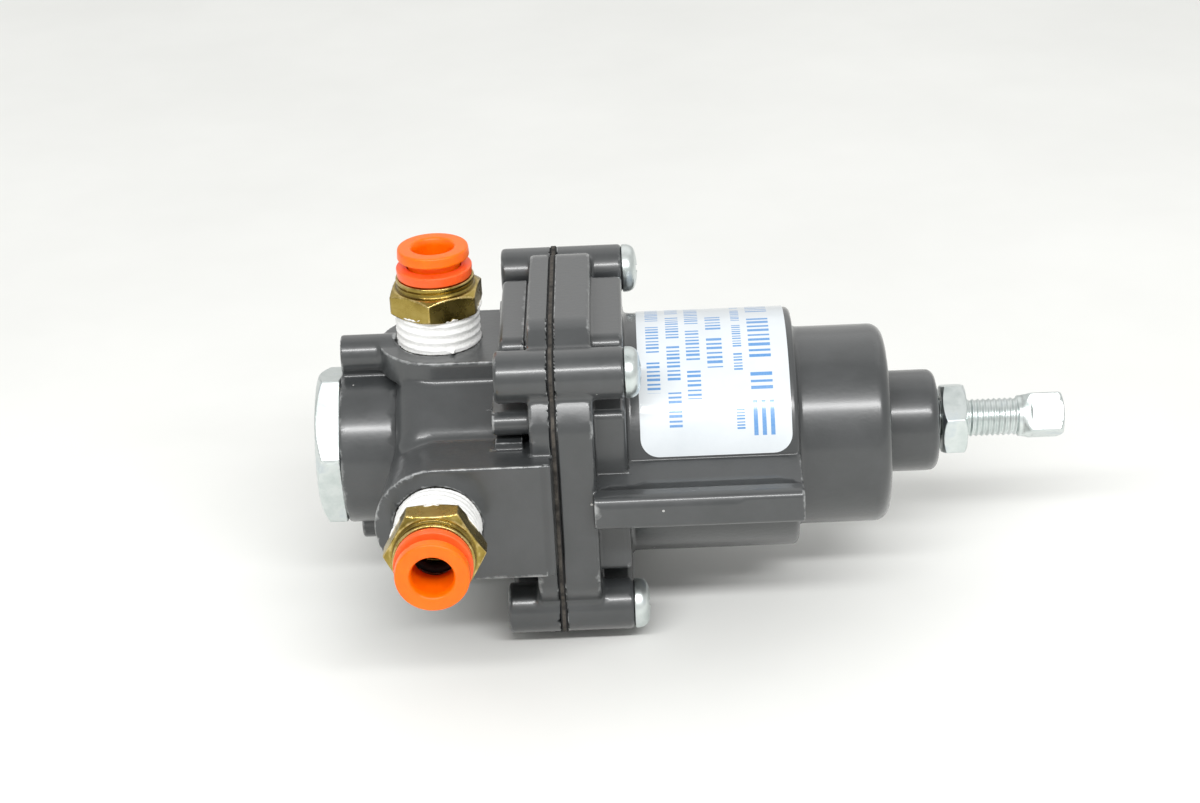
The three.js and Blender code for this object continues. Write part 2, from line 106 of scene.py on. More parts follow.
LABEL_R = 19.86
LABEL_ANGLES = (14.2, 149.5)         # edges of the label, in degrees from -Y towards +Z
LABEL_CYLINDER_END = 78.84
UPPER_R = 16.49
UPPER_END = 94.07
NECK_R = 8.46
RIB_HALF = (2.2, 2.8)
RIB_MIDDLE = 27.2
RIB_Y = 27.4                         # hole in the rib, from the main axis
RIB_HOLE_DEPTH = 9
SCREW_R = 3.175
THREAD_PITCH = 0.907
SIMPLIFY = 0.02                      # how far flat areas of a skin are thinned out
HEAD_X0 = 117.2
HEAD_FLATS = 6.6
HEAD_TURN = 54.0
NUT_FLATS = 11.1
NUT_TURN = 37.5
FIT_HEX = 14.0
TUBE_R = 3.225


# ---- distance fields -------------------------------------------------------------------------
def rounded_and(a, b, r):
    """Intersection with its convex edge rounded to r."""
    corner = np.hypot(np.maximum(a + r, 0), np.maximum(b + r, 0))
    return np.minimum(np.maximum(a, b), -r) + corner


def rounded_or(a, b, r):
    """Union with a fillet of radius r."""
    corner = np.hypot(np.maximum(r - a, 0), np.maximum(r - b, 0))
    return np.maximum(np.minimum(a, b), r) - corner


def carved(a, tool, r=0.15):
    return rounded_and(a, -tool, r)


def between(v, low, high):
    return np.abs(v - (low + high) / 2) - (high - low) / 2


def bar(side, x, x0, x1, edge0, edge1):
    """A side distance cut to length along x, each end with its own edge radius."""
    return rounded_and(rounded_and(side, x0 - x, edge0), x - x1, edge1)


def round_bar(x, y, z, radius, x0, x1, edge0=0.4, edge1=0.4):
    return bar(np.hypot(y, z) - radius, x, x0, x1, edge0, edge1)


def block(u, v, w, half_u, half_v, half_w, edge):
    flat = rounded_and(np.abs(u) - half_u, np.abs(v) - half_v, edge)
    return rounded_and(flat, np.abs(w) - half_w, edge)


def flange_side(y, z):
    square = rounded_and(np.abs(y) - FLANGE_FLAT, np.abs(z) - FLANGE_FLAT, 0.5)
    return rounded_and(square, np.hypot(y, z) - FLANGE_CORNER, 0.8)


def tier_side(y, z):
    """The flats of the smaller step, facing up and down."""
    return rounded_and(np.abs(y) - TIER_HALF, np.abs(z) - TIER_FLAT, 2.2)


def tier_outline(y, z):
    """The same step all round, with its flats facing the ports as well."""
    sideways = rounded_and(np.abs(z) - TIER_SIDE_HALF, np.abs(y) - TIER_SIDE_FLAT, 1.4)
    return np.minimum(tier_side(y, z), sideways)


def d_side(x, across, radius):
    """Half round towards -X of the port axis, straight towards +X."""
    return np.hypot(np.minimum(x - PORT_X, 0), across) - radius


def lobes(y, z):
    """Distance to the axis of the nearest of the four cover screws."""
    offset = BOLT_R * math.sqrt(0.5)
    return np.hypot(np.abs(y) - offset, np.abs(z) - offset)


def hexagon(y, z, flats, turn=0.0):
    """Distance to a hexagon with a corner at turn degrees from +Y towards +Z."""
    apothem = flats / 2
    side = None
    for k in range(3):
        a = math.radians(turn + 30 + 60 * k)
        facet = np.abs(y * math.cos(a) + z * math.sin(a)) - apothem
        side = facet if side is None else rounded_and(side, facet, 0.12)
    return side


def chamfer(x, radius, end, start_radius, slope=0.58):
    """A cone that takes the corners off the end of a bar."""
    return (radius - start_radius + (x - end) / slope) / math.hypot(1, 1 / slope)


def body_field(x, y, z):
    """Lower casting: valve housing, four port bosses, bracket bosses and flange."""
    mirror_y = np.abs(y)
    mirror_z = np.abs(z)
    field = round_bar(x, y, z, LOWER_R, PLUG_HEAD_END, 30, 0.5, 0.4)
    for offset, start in (UPPER_BRACKET, LOWER_BRACKET):
        boss = round_bar(x, y, z - offset, BRACKET_R, start, BRACKET_END, 0.35, 0.4)
        web = block(x - (start + BRACKET_END) / 2, y, z - offset * 0.8,
                    (BRACKET_END - start) / 2, 1.8, abs(offset) * 0.2, 0.3)
        field = rounded_or(field, rounded_or(boss, web, 0.4), 0.5)
    slope = math.radians(55.7)
    gusset = mirror_y * math.cos(slope) + mirror_z * math.sin(slope) - 18.3
    gusset = rounded_and(rounded_and(gusset, mirror_z - 16.2, 1.5), mirror_y - 19.5, 3.0)
    gusset = bar(gusset, x, 13.6, 37, 5.5, 0.2)
    field = rounded_or(field, gusset, 0.6)
    side_boss = d_side(x, z, 10.0 - 0.09 * (SIDE_PORT - mirror_y))
    side_boss = rounded_and(side_boss, mirror_y - SIDE_PORT + 0.25 * (x > 37.9), 0.35)
    field = rounded_or(field, rounded_and(side_boss, x - BODY_X1, 0.15), 0.9)
    gauge_column = bar(d_side(x, y, 7.9), mirror_z, 0, 16, 0.1, 0.1)
    gauge_lip = bar(d_side(x, y, PORT_R), mirror_z, GAUGE_PORT - 4.9, GAUGE_PORT, 0.9, 0.35)
    gauge = rounded_and(rounded_or(gauge_column, gauge_lip, 0.6), x - 34, 0.2)
    field = rounded_or(field, gauge, 0.7)
    tier = bar(tier_side(y, z), x, 31.2, 37, 0.9, 0.1)
    groove = bar(-(tier_side(y, z) + 0.7), x, 35.35, 35.85, 0.1, 0.1)
    tier = carved(tier, groove, 0.1)
    flange = bar(flange_side(y, z), x, 35.9, BODY_X1, 0.7, 0.12)
    post = bar(lobes(y, z) - LOBE_R, x, 30.7, BODY_X1, 0.7, 0.12)
    casting = rounded_or(flange, post, 0.8)
    field = rounded_or(field, rounded_or(tier, casting, 0.3), 0.7)
    small = round_bar(x, mirror_y - 21.6, z - 13.3, 2.0, 30.0, 37, 0.4, 0.2)
    small_web = block(x - 33.5, mirror_y - 18, z - 13.9, 3.5, 4.2, 1.4, 0.2)
    ledge = block(x - 32.5, mirror_y - 20.4, z - 9.6, 2.2, 3.0, 1.0, 0.15)
    field = rounded_or(field, np.minimum(np.minimum(small, small_web), ledge), 0.3)
    # machined inside: valve chamber, seat bore, diaphragm chamber, ports and passages
    radius = np.hypot(y, z)
    for r, x0, x1 in ((9.2, -5, 23.2), (5.3, 20, 27.2), (3.4, 27, 31), (10.5, 30.4, 50), (20.5, 34.5, 50)):
        field = carved(field, np.maximum(radius - r, between(x, x0, x1)), 0.1)
    around_port = np.hypot(x - PORT_X, z)
    mouth = np.maximum(mirror_y - SIDE_PORT + 0.25, 0)
    depth = between(mirror_y, SIDE_PORT - 11, SIDE_PORT + 0.6)
    field = carved(field, np.maximum(around_port - 6.9 - mouth, depth), 0.1)
    field = carved(field, np.maximum(around_port - 4, between(y, -22, -6)), 0.1)
    field = carved(field, np.maximum(around_port - 4, between(y, 14, 22)), 0.1)
    cross = np.hypot(y - 16.4, z)
    field = carved(field, np.maximum(cross - 3.4, between(x, PORT_X, 36)), 0.1)
    around_gauge = np.hypot(x - PORT_X, y)
    mouth = np.maximum(mirror_z - GAUGE_PORT + 0.2, 0)
    depth = between(mirror_z, GAUGE_PORT - 6.2, GAUGE_PORT + 0.6)
    field = carved(field, np.maximum(around_gauge - 6.75 - mouth, depth), 0.1)
    field = carved(field, np.maximum(lobes(y, z) - 2.0, 32.2 - x), 0.1)
    for offset, _ in (UPPER_BRACKET, LOWER_BRACKET):
        depth = between(x, PLUG_HEAD_END, BRACKET_HOLE_END)
        field = carved(field, np.maximum(np.hypot(y, z - offset) - MOUNT_HOLE_R, depth), 0.1)
    return field


def bonnet_field(x, y, z):
    """Spring housing: flange, stepped cylinder, neck and the two side ribs."""
    mirror_y = np.abs(y)
    mirror_z = np.abs(z)
    radius = np.hypot(y, z)
    flange = bar(flange_side(y, z), x, BONNET_X0, 46.0, 0.12, 0.7)
    post = bar(lobes(y, z) - LOBE_R, x, BONNET_X0, LOBE_HEAD_SEAT, 0.12, 0.7)
    tier = rounded_or(tier_outline(y, z), radius - TIER_CORE, 1.0)
    tier = bar(tier, x, 45, 51.1, 0.1, 0.8)
    tube = round_bar(x, y, z, LABEL_R, 45, LABEL_CYLINDER_END, 0.1, 1.0)
    upper = round_bar(x, y, z, UPPER_R, 77, UPPER_END, 0.1, 2.4)
    neck = round_bar(x, y, z, NECK_R, 92, NECK_END, 0.1, 1.6)
    rod = rounded_and(np.abs(mirror_y - RIB_MIDDLE) - RIB_HALF[0], np.abs(z) - RIB_HALF[1], 1.2)
    rod = bar(rod, x, 45.5, LABEL_CYLINDER_END, 0.2, 0.45)
    lean = math.radians(18.6)
    wedge = mirror_z * math.cos(lean) + (mirror_y - 25.5) * math.sin(lean) - 2.35 * math.cos(lean)
    wedge = rounded_and(wedge, mirror_y - RIB_Y, 0.1)
    wedge = bar(rounded_and(wedge, 17 - mirror_y, 0.1), x, 45.5, LABEL_CYLINDER_END, 0.2, 0.45)
    field = rounded_or(rounded_or(flange, post, 0.8), tier, 0.3)
    field = rounded_or(field, tube, 0.8)
    field = rounded_or(field, rounded_or(rod, wedge, 0.2), 0.15)
    field = rounded_or(field, upper, 1.0)
    field = rounded_or(field, neck, 0.6)
    for r, x0, x1 in ((20.5, 30, 45), (16.6, 40, 76), (13.4, 75, 91.4), (SCREW_R + 0.1, 90, 110)):
        field = carved(field, np.maximum(radius - r, between(x, x0, x1)), 0.1)
    field = carved(field, np.maximum(np.hypot(x - 57, y) - 1.2, z + 12), 0.15)
    field = carved(field, np.maximum(lobes(y, z) - 2.2, 38 - x), 0.1)
    rib_hole = np.hypot(mirror_y - RIB_Y, z) - MOUNT_HOLE_R
    return carved(field, np.maximum(rib_hole, LABEL_CYLINDER_END - RIB_HOLE_DEPTH - x), 0.15)


def plug_field(x, y, z):
    """Hex bottom plug with its O-ring gland and the pocket that holds the valve spring."""
    radius = np.hypot(y, z)
    head = bar(hexagon(y, z, PLUG_HEX, PLUG_TURN), x, 0, PLUG_HEAD_END, 0.1, 0.15)
    head = rounded_and(head, chamfer(-x, radius, 0, PLUG_HEX / 2 - 0.3), 0.1)
    shank = round_bar(x, y, z, 8.95, 2, PLUG_SHANK_END, 0.1, 0.3)
    field = rounded_or(head, shank, 0.1)
    gland = between(x, PLUG_HEAD_END + 0.4, PLUG_HEAD_END + 2.4)
    field = carved(field, np.maximum(8.0 - radius, gland), 0.05)
    ring = np.maximum(np.abs(radius - 4.85) - 1.75, 8.4 - x)
    return carved(carved(field, ring, 0.1), np.maximum(radius - 1.75, 7.5 - x), 0.1)


def nut_field(x, y, z):
    radius = np.hypot(y, z)
    field = bar(hexagon(y, z, NUT_FLATS, NUT_TURN), x, NUT_X0, NUT_X1, 0.1, 0.1)
    field = rounded_and(field, chamfer(x, radius, NUT_X1, NUT_FLATS / 2 - 0.15), 0.1)
    field = rounded_and(field, chamfer(-x, radius, -NUT_X0, NUT_FLATS / 2 - 0.15), 0.1)
    mouth = np.maximum(np.maximum(NUT_X0 + 0.5 - x, x - NUT_X1 + 0.5), 0)
    return carved(field, radius - SCREW_R - 0.08 - mouth, 0.08)


def screw_head_field(x, y, z):
    turn = math.radians(HEAD_TURN)
    u = y * math.cos(turn) + z * math.sin(turn)
    v = z * math.cos(turn) - y * math.sin(turn)
    half = HEAD_FLATS / 2
    radius = np.hypot(y, z)
    field = rounded_and(np.abs(u) - half, np.abs(v) - half, 0.35)
    field = bar(field, x, HEAD_X0, SCREW_END, 0.15, 0.15)
    field = rounded_and(field, chamfer(x, radius, SCREW_END, half * 1.02), 0.25)
    field = rounded_and(field, chamfer(-x, radius, -HEAD_X0, half * 1.08, 1.0), 0.25)
    collar = round_bar(x, y, z, SCREW_R + 0.25, HEAD_X0 - 1.1, HEAD_X0 + 1, 0.4, 0.1)
    return rounded_or(field, collar, 0.5)


def cover_screw_field(x, y, z):
    """A pan head with a cross recess, its axis on X and its seat at zero."""
    radius = np.hypot(y, z)
    dome = np.sqrt(radius ** 2 + (x + 4.6) ** 2) - 7.45
    head = rounded_and(bar(radius - 4.08, x, 0, 2.85, 0.2, 0.5), dome, 0.8)
    shank = round_bar(x, y, z, 1.85, LOBE_HEAD_X0 - LOBE_HEAD_SEAT, 1, 0.3, 0.1)
    field = rounded_or(head, shank, 0.1)
    taper = np.maximum(2.7 - x, 0) * 0.5
    cross = np.minimum(np.maximum(np.abs(y) - 0.5, np.abs(z) - 2.3 + taper),
                       np.maximum(np.abs(z) - 0.5, np.abs(y) - 2.3 + taper))
    return carved(field, np.maximum(cross, 1.1 - x), 0.08)


def fitting_field(hex_turn):
    """Brass body of a push-in fitting, from its port face outwards along +X."""
    def field(x, y, z):
        radius = np.hypot(y, z)
        thread = round_bar(x, y, z, 6.45, -5.8, 6.2, 0.5, 0.1)
        body = bar(hexagon(y, z, FIT_HEX, hex_turn), x, 5.6, 9.7, 0.1, 0.1)
        body = rounded_and(body, chamfer(x, radius, 9.7, FIT_HEX / 2 - 0.1), 0.12)
        body = rounded_and(body, chamfer(-x, radius, -5.6, FIT_HEX / 2 + 0.1), 0.12)
        neck = round_bar(x, y, z, 6.4, 9, 11.4, 0.1, 0.25)
        groove = np.hypot(radius - 6.75, x - 10.25) - 0.55
        total = rounded_or(rounded_or(thread, body, 0.1), carved(neck, groove, 0.15), 0.15)
        for r, x0, x1 in ((3.0, -9, 2), (3.3, 1, 5), (5.3, 4.6, 15)):
            total = carved(total, np.maximum(radius - r, between(x, x0, x1)), 0.1)
        return total
    return field


def pipe_plug_field(x, y, z):
    """Socket plug, from its port face outwards along +X."""
    radius = np.hypot(y, z)
    blank = round_bar(x, y, z, 6.6, -6, -0.4, 0.4, 0.6)
    socket = np.maximum(hexagon(y, z, 6.35), -5.6 - x)
    socket = np.minimum(socket, (radius - 4.0 - (x + 0.4)) * 0.7)
    return carved(blank, socket, 0.1)


# ---- meshes ----------------------------------------------------------------------------------
def object_from(name, mesh):
    piece = bpy.data.objects.new(name, mesh)
    bpy.context.collection.objects.link(piece)
    return piece


def mesh_from(name, points, faces):
    """Points in millimetres, faces as index lists."""
    mesh = bpy.data.meshes.new(name)
    mesh.from_pydata((np.asarray(points) * MM).tolist(), [], faces)
    mesh.shade_smooth()
    mesh.validate()
    return mesh


def slope_of(field, points, step=0.02):
    """Gradient of a field at points, by central differences."""
    grad = np.empty_like(points)
    for axis in range(3):
        ahead, behind = points.copy(), points.copy()
        ahead[:, axis] += step
        behind[:, axis] -= step
        grad[:, axis] = (field(*ahead.T) - field(*behind.T)) / (2 * step)
    return grad


def bend_of(field, points, step):
    """How sharply the surface bends: above zero on outside edges, below zero in fillets."""
    total = -6 * field(*points.T)
    for axis in range(3):
        for sign in (-1, 1):
            moved = points.copy()
            moved[:, axis] += sign * step
            total += field(*moved.T)
    return total / step ** 2


def skinned(name, field, low, high, cell):
    """Skins a distance field, pulls the points exactly onto it and keeps its true normals."""
    axes = [np.arange(a - 2.5 * cell, b + 3 * cell, cell) for a, b in zip(low, high)]
    x, y, z = np.ix_(*axes)
    values = np.broadcast_to(field(x, y, z), [len(a) for a in axes]).astype(np.float32)
    grid = openvdb.FloatGrid(3 * cell)
    grid.copyFromArray(np.ascontiguousarray(np.clip(values, -3 * cell, 3 * cell)))
    points, triangles, quads = grid.convertToPolygons(isovalue=0.0, adaptivity=SIMPLIFY)
    points = points.astype(float) * cell + [a[0] for a in axes]
    for _ in range(3):
        grad = slope_of(field, points)
        length = np.maximum((grad ** 2).sum(1), 0.05)
        move = -(field(*points.T) / length)[:, None] * grad
        points += np.clip(move, -0.6 * cell, 0.6 * cell)
    first = triangles[0] if len(triangles) else quads[0]
    a, b, c = points[first[:3]]
    out = slope_of(field, ((a + b + c) / 3)[None, :])[0]
    way = 1 if np.dot(np.cross(b - a, c - a), out) > 0 else -1
    faces = [f[::way].tolist() for f in triangles] + [f[::way].tolist() for f in quads]
    mesh = mesh_from(name, points, faces)
    if len(mesh.vertices) == len(points):
        normals = slope_of(field, points, 0.06)
        normals /= np.linalg.norm(normals, axis=1, keepdims=True) + 1e-9
        mesh.normals_split_custom_set_from_vertices(normals.tolist())
        # how sharply the surface bends, which the finishes turn into lighter edges with painted highlight and
        # painted shade in fillets
        edge = mesh.attributes.new("edge", "FLOAT", "POINT")
        edge.data.foreach_set("value", np.clip(bend_of(field, points, 0.25) * 0.35, -1, 1))
    return mesh


def ring_faces(rows, sides):
    """Quads from each ring of points to the next, and from the last ring back to the first."""
    return [[r * sides + s, r * sides + (s + 1) % sides,
             (r + 1) % rows * sides + (s + 1) % sides, (r + 1) % rows * sides + s]
            for r in range(rows) for s in range(sides)]


def turned_mesh(name, profile, sides=128, fillet=0.0, steps=4):
    """A closed ring turned about X from [x, radius] corners, each rounded to fillet."""
    outline = []
    count = len(profile)
    for k in range(count):
        before, here, after = (np.array(profile[(k + d) % count], float) for d in (-1, 0, 1))
        back, ahead = before - here, after - here
        reach = min(fillet, np.linalg.norm(back) / 2.1, np.linalg.norm(ahead) / 2.1)
        if reach < 1e-3:
            outline.append(here)
            continue
        start = here + back / np.linalg.norm(back) * reach
        end = here + ahead / np.linalg.norm(ahead) * reach
        for t in np.linspace(0, 1, steps + 1):
            outline.append((1 - t) ** 2 * start + 2 * t * (1 - t) * here + t ** 2 * end)
    outline = np.array(outline)
    angle = np.linspace(0, 2 * math.pi, sides, endpoint=False)
    points = np.stack([np.repeat(outline[:, :1], sides, 1),
                       outline[:, 1:] * np.cos(angle), outline[:, 1:] * np.sin(angle)], -1).reshape(-1, 3)
    return outward(mesh_from(name, points, ring_faces(len(outline), sides)))


def outward(mesh):
    """Recalculates the faces so that they point out."""
    work = bmesh.new()
    work.from_mesh(mesh)
    bmesh.ops.remove_doubles(work, verts=work.verts, dist=1e-7)
    bmesh.ops.recalc_face_normals(work, faces=work.faces)
    if work.calc_volume(signed=True) < 0:
        bmesh.ops.reverse_faces(work, faces=work.faces)
    work.to_mesh(mesh)
    work.free()
    return mesh


def sharp_edges(mesh, degrees=40):
    mesh.set_sharp_from_angle(angle=math.radians(degrees))
    return mesh


def joined(name, *meshes):
    """One mesh from several, each keeping its own points."""
    pieces = [object_from(name, m) for m in meshes]
    bpy.ops.object.select_all(action="DESELECT")
    for piece in pieces:
        piece.select_set(True)
    bpy.context.view_layer.objects.active = pieces[0]
    bpy.ops.object.join()
    mesh = pieces[0].data
    bpy.data.objects.remove(pieces[0])
    return mesh


INLET_PLACE = Matrix.Translation((PORT_X * MM, -SIDE_PORT * MM, 0)) @ Matrix.Rotation(-math.pi / 2, 4, "Z")
GAUGE_PLACE = Matrix.Translation((PORT_X * MM, 0, GAUGE_PORT * MM)) @ Matrix.Rotation(-math.pi / 2, 4, "Y")
UNDER_PLACE = Matrix.Rotation(math.pi, 4, "X") @ GAUGE_PLACE


def placed(mesh, matrix):
    mesh.transform(matrix)
    return mesh


# ---- geometry nodes --------------------------------------------------------------------------
class Builder:
    """Shorthand for adding nodes to self.tree."""

    def add(self, kind, links=None, **settings):
        node = self.tree.nodes.new(kind)
        for key, value in settings.items():
            setattr(node, key, value)
        for key, value in (links or {}).items():
            if isinstance(value, bpy.types.NodeSocket):
                self.tree.links.new(value, node.inputs[key])
            else:
                node.inputs[key].default_value = value
        return node

    def math(self, operation, a, b=0.0, c=0.0):
        return self.add("ShaderNodeMath", {0: a, 1: b, 2: c}, operation=operation).outputs[0]


class Tree(Builder):
    """A node group for geometry or shading."""

    def __init__(self, name, kind, inputs=(), outputs=()):
        self.tree = bpy.data.node_groups.new(name, kind)
        for label, socket, value in inputs:
            made = self.tree.interface.new_socket(label, in_out="INPUT", socket_type=socket)
            if value is not None:
                made.default_value = value
        for label, socket in outputs:
            self.tree.interface.new_socket(label, in_out="OUTPUT", socket_type=socket)
        self.entry = self.tree.nodes.new("NodeGroupInput")
        self.exit = self.tree.nodes.new("NodeGroupOutput")

    def returns(self, **values):
        """Links what the group gives back, and hands the group over."""
        for key, value in values.items():
            self.tree.links.new(value, self.exit.inputs[key])
        return self.tree

    def solid(self, geometry):
        """Ends a geometry group: real geometry in the finish that it was given."""
        real = self.add("GeometryNodeRealizeInstances", {"Geometry": geometry})
        done = self.add("GeometryNodeSetMaterial", {"Geometry": real.outputs[0],
                                                    "Material": self.entry.outputs["Finish"]})
        return self.returns(Geometry=done.outputs[0])


def grown(name, tree, values):
    """Runs a geometry tree and returns its result as a plain mesh."""
    host = object_from(name, bpy.data.meshes.new(name))
    modifier = host.modifiers.new("grow", "NODES")
    modifier.node_group = tree
    for item in tree.interface.items_tree:
        if item.item_type == "SOCKET" and item.in_out == "INPUT" and item.name in values:
            modifier[item.identifier] = values[item.name]
    depsgraph = bpy.context.evaluated_depsgraph_get()
    mesh = bpy.data.meshes.new_from_object(host.evaluated_get(depsgraph))
    host.modifiers.remove(modifier)
    bpy.data.objects.remove(host)
    mesh.name = name
    return mesh


FLOAT, INT, GEOMETRY = "NodeSocketFloat", "NodeSocketInt", "NodeSocketGeometry"


def coil_tree():
    """A compression spring with closed ends, wound about X."""
    t = Tree("coil_spring", "GeometryNodeTree",
             [("Mean Radius", FLOAT, 0.01), ("Wire Radius", FLOAT, 0.001), ("Start", FLOAT, 0.0),
              ("Length", FLOAT, 0.05), ("Turns", FLOAT, 7.0), ("Steps", INT, 300),
              ("Finish", "NodeSocketMaterial", None)], [("Geometry", GEOMETRY)])
    inp = t.entry.outputs
    line = t.add("GeometryNodeMeshLine", {"Count": inp["Steps"]})
    curve = t.add("GeometryNodeMeshToCurve", {"Mesh": line.outputs[0]})
    index = t.add("GeometryNodeInputIndex").outputs[0]
    share = t.math("DIVIDE", index, t.math("SUBTRACT", inp["Steps"], 1.0))
    angle = t.math("MULTIPLY", t.math("MULTIPLY", share, inp["Turns"]), 2 * math.pi)
    dead = t.math("DIVIDE", 0.7, inp["Turns"])
    rise = t.add("ShaderNodeMapRange", {"Value": share, "From Min": dead,
                                        "From Max": t.math("SUBTRACT", 1.0, dead)})
    room = t.math("SUBTRACT", inp["Length"], t.math("MULTIPLY", inp["Wire Radius"], 2.0))
    along = t.math("MULTIPLY_ADD", rise.outputs[0], room, t.math("ADD", inp["Start"], inp["Wire Radius"]))
    place = t.add("ShaderNodeCombineXYZ", {
        "X": along, "Y": t.math("MULTIPLY", inp["Mean Radius"], t.math("COSINE", angle)),
        "Z": t.math("MULTIPLY", inp["Mean Radius"], t.math("SINE", angle))})
    wound = t.add("GeometryNodeSetPosition", {"Geometry": curve.outputs[0], "Position": place.outputs[0]})
    wire = t.add("GeometryNodeCurvePrimitiveCircle", {"Resolution": 14, "Radius": inp["Wire Radius"]})
    tube = t.add("GeometryNodeCurveToMesh", {"Curve": wound.outputs[0], "Profile Curve": wire.outputs[0],
                                             "Fill Caps": True})
    smooth = t.add("GeometryNodeSetShadeSmooth", {"Geometry": tube.outputs[0]})
    return t.solid(smooth.outputs[0])


def thread_tree():
    """A threaded rod about X with a cone point: a fine cylinder whose points follow one helical groove."""
    t = Tree("threaded_rod", "GeometryNodeTree",
             [("Radius", FLOAT, 0.003), ("Depth", FLOAT, 0.0006), ("Pitch", FLOAT, 0.000907),
              ("Start", FLOAT, 0.0), ("Length", FLOAT, 0.03), ("Sides", INT, 48), ("Rings", INT, 280),
              ("Finish", "NodeSocketMaterial", None)], [("Geometry", GEOMETRY)])
    inp = t.entry.outputs
    rod = t.add("GeometryNodeMeshCylinder", {"Vertices": inp["Sides"], "Side Segments": inp["Rings"],
                                             "Fill Segments": 2, "Radius": inp["Radius"],
                                             "Depth": inp["Length"]}, fill_type="TRIANGLE_FAN")
    spot = t.add("GeometryNodeInputPosition").outputs[0]
    axes = t.add("ShaderNodeSeparateXYZ", {0: spot}).outputs
    up = t.math("ADD", axes["Z"], t.math("MULTIPLY", inp["Length"], 0.5))
    angle = t.math("ARCTAN2", axes["Y"], axes["X"])
    phase = t.math("ADD", t.math("DIVIDE", up, inp["Pitch"]), t.math("DIVIDE", angle, 2 * math.pi))
    wave = t.math("PINGPONG", t.math("ADD", phase, 100.0), 0.5)
    groove = t.math("MULTIPLY", t.math("SMOOTH_MIN", t.math("MULTIPLY", wave, 2.0), 0.86, 0.15), inp["Depth"])
    edge = t.math("MINIMUM", up, t.math("SUBTRACT", inp["Length"], up))
    taper = t.math("SUBTRACT", t.math("MULTIPLY", inp["Depth"], 1.1), edge)
    point = t.math("SUBTRACT", inp["Radius"], t.math("MULTIPLY_ADD", up, 1.1, 0.00015))
    sink = t.math("MAXIMUM", t.math("MAXIMUM", groove, point), t.math("MAXIMUM", taper, 0.0))
    scale = t.math("DIVIDE", t.math("SUBTRACT", inp["Radius"], sink), inp["Radius"])
    place = t.add("ShaderNodeCombineXYZ", {
        "X": t.math("ADD", inp["Start"], up), "Y": t.math("MULTIPLY", axes["X"], scale),
        "Z": t.math("MULTIPLY", axes["Y"], scale)})
    cut = t.add("GeometryNodeSetPosition", {"Geometry": rod.outputs[0], "Position": place.outputs[0]})
    smooth = t.add("GeometryNodeSetShadeSmooth", {"Geometry": cut.outputs[0]})
    return t.solid(smooth.outputs[0])


def screw_pattern_tree():
    """One fastener on each corner of a bolt circle about X, each turned its own way."""
    t = Tree("screw_pattern", "GeometryNodeTree",
             [("Fastener", "NodeSocketObject", None), ("Count", INT, 4), ("Bolt Circle", FLOAT, 0.03),
              ("Seat", FLOAT, 0.0), ("Seed", INT, 3), ("Finish", "NodeSocketMaterial", None)],
             [("Geometry", GEOMETRY)])
    inp = t.entry.outputs
    ring = t.add("GeometryNodeMeshCircle", {"Vertices": inp["Count"], "Radius": inp["Bolt Circle"]})
    lift = t.add("ShaderNodeCombineXYZ", {"X": inp["Seat"]})
    upright = t.add("GeometryNodeTransform", {"Geometry": ring.outputs[0], "Translation": lift.outputs[0],
                                              "Rotation": (0, math.pi / 2, 0)})
    stand = t.add("GeometryNodeTransform", {"Geometry": upright.outputs[0],
                                            "Rotation": (math.pi / 4, 0, 0)})
    model = t.add("GeometryNodeObjectInfo", {"Object": inp["Fastener"]})
    spin = t.add("FunctionNodeRandomValue", {"Seed": inp["Seed"]}, data_type="FLOAT")
    spin.inputs[3].default_value = 2 * math.pi
    turn = t.add("ShaderNodeCombineXYZ", {"X": spin.outputs[1]})
    copies = t.add("GeometryNodeInstanceOnPoints", {"Points": stand.outputs[0],
                                                    "Instance": model.outputs["Geometry"],
                                                    "Rotation": turn.outputs[0]})
    return t.solid(copies.outputs[0])


# ---- materials -------------------------------------------------------------------------------
def grain_group():
    """Two sizes of soft lumps: a height for bumps and a broad mottle for colour and roughness."""
    t = Tree("grain", "ShaderNodeTree",
             [("Size", FLOAT, 800.0), ("Broad Size", FLOAT, 90.0), ("Mix", FLOAT, 0.5)],
             [("Height", FLOAT), ("Mottle", FLOAT)])
    where = t.add("ShaderNodeTexCoord").outputs["Object"]
    fine = t.add("ShaderNodeTexNoise", {"Vector": where, "Scale": t.entry.outputs["Size"], "Detail": 3.0,
                                        "Roughness": 0.55})
    broad = t.add("ShaderNodeTexNoise", {"Vector": where, "Scale": t.entry.outputs["Broad Size"],
                                         "Detail": 4.0, "Roughness": 0.6})
    height = t.add("ShaderNodeMix", {0: t.entry.outputs["Mix"], 2: fine.outputs[0], 3: broad.outputs[0]})
    return t.returns(Height=height.outputs[0], Mottle=broad.outputs[0])


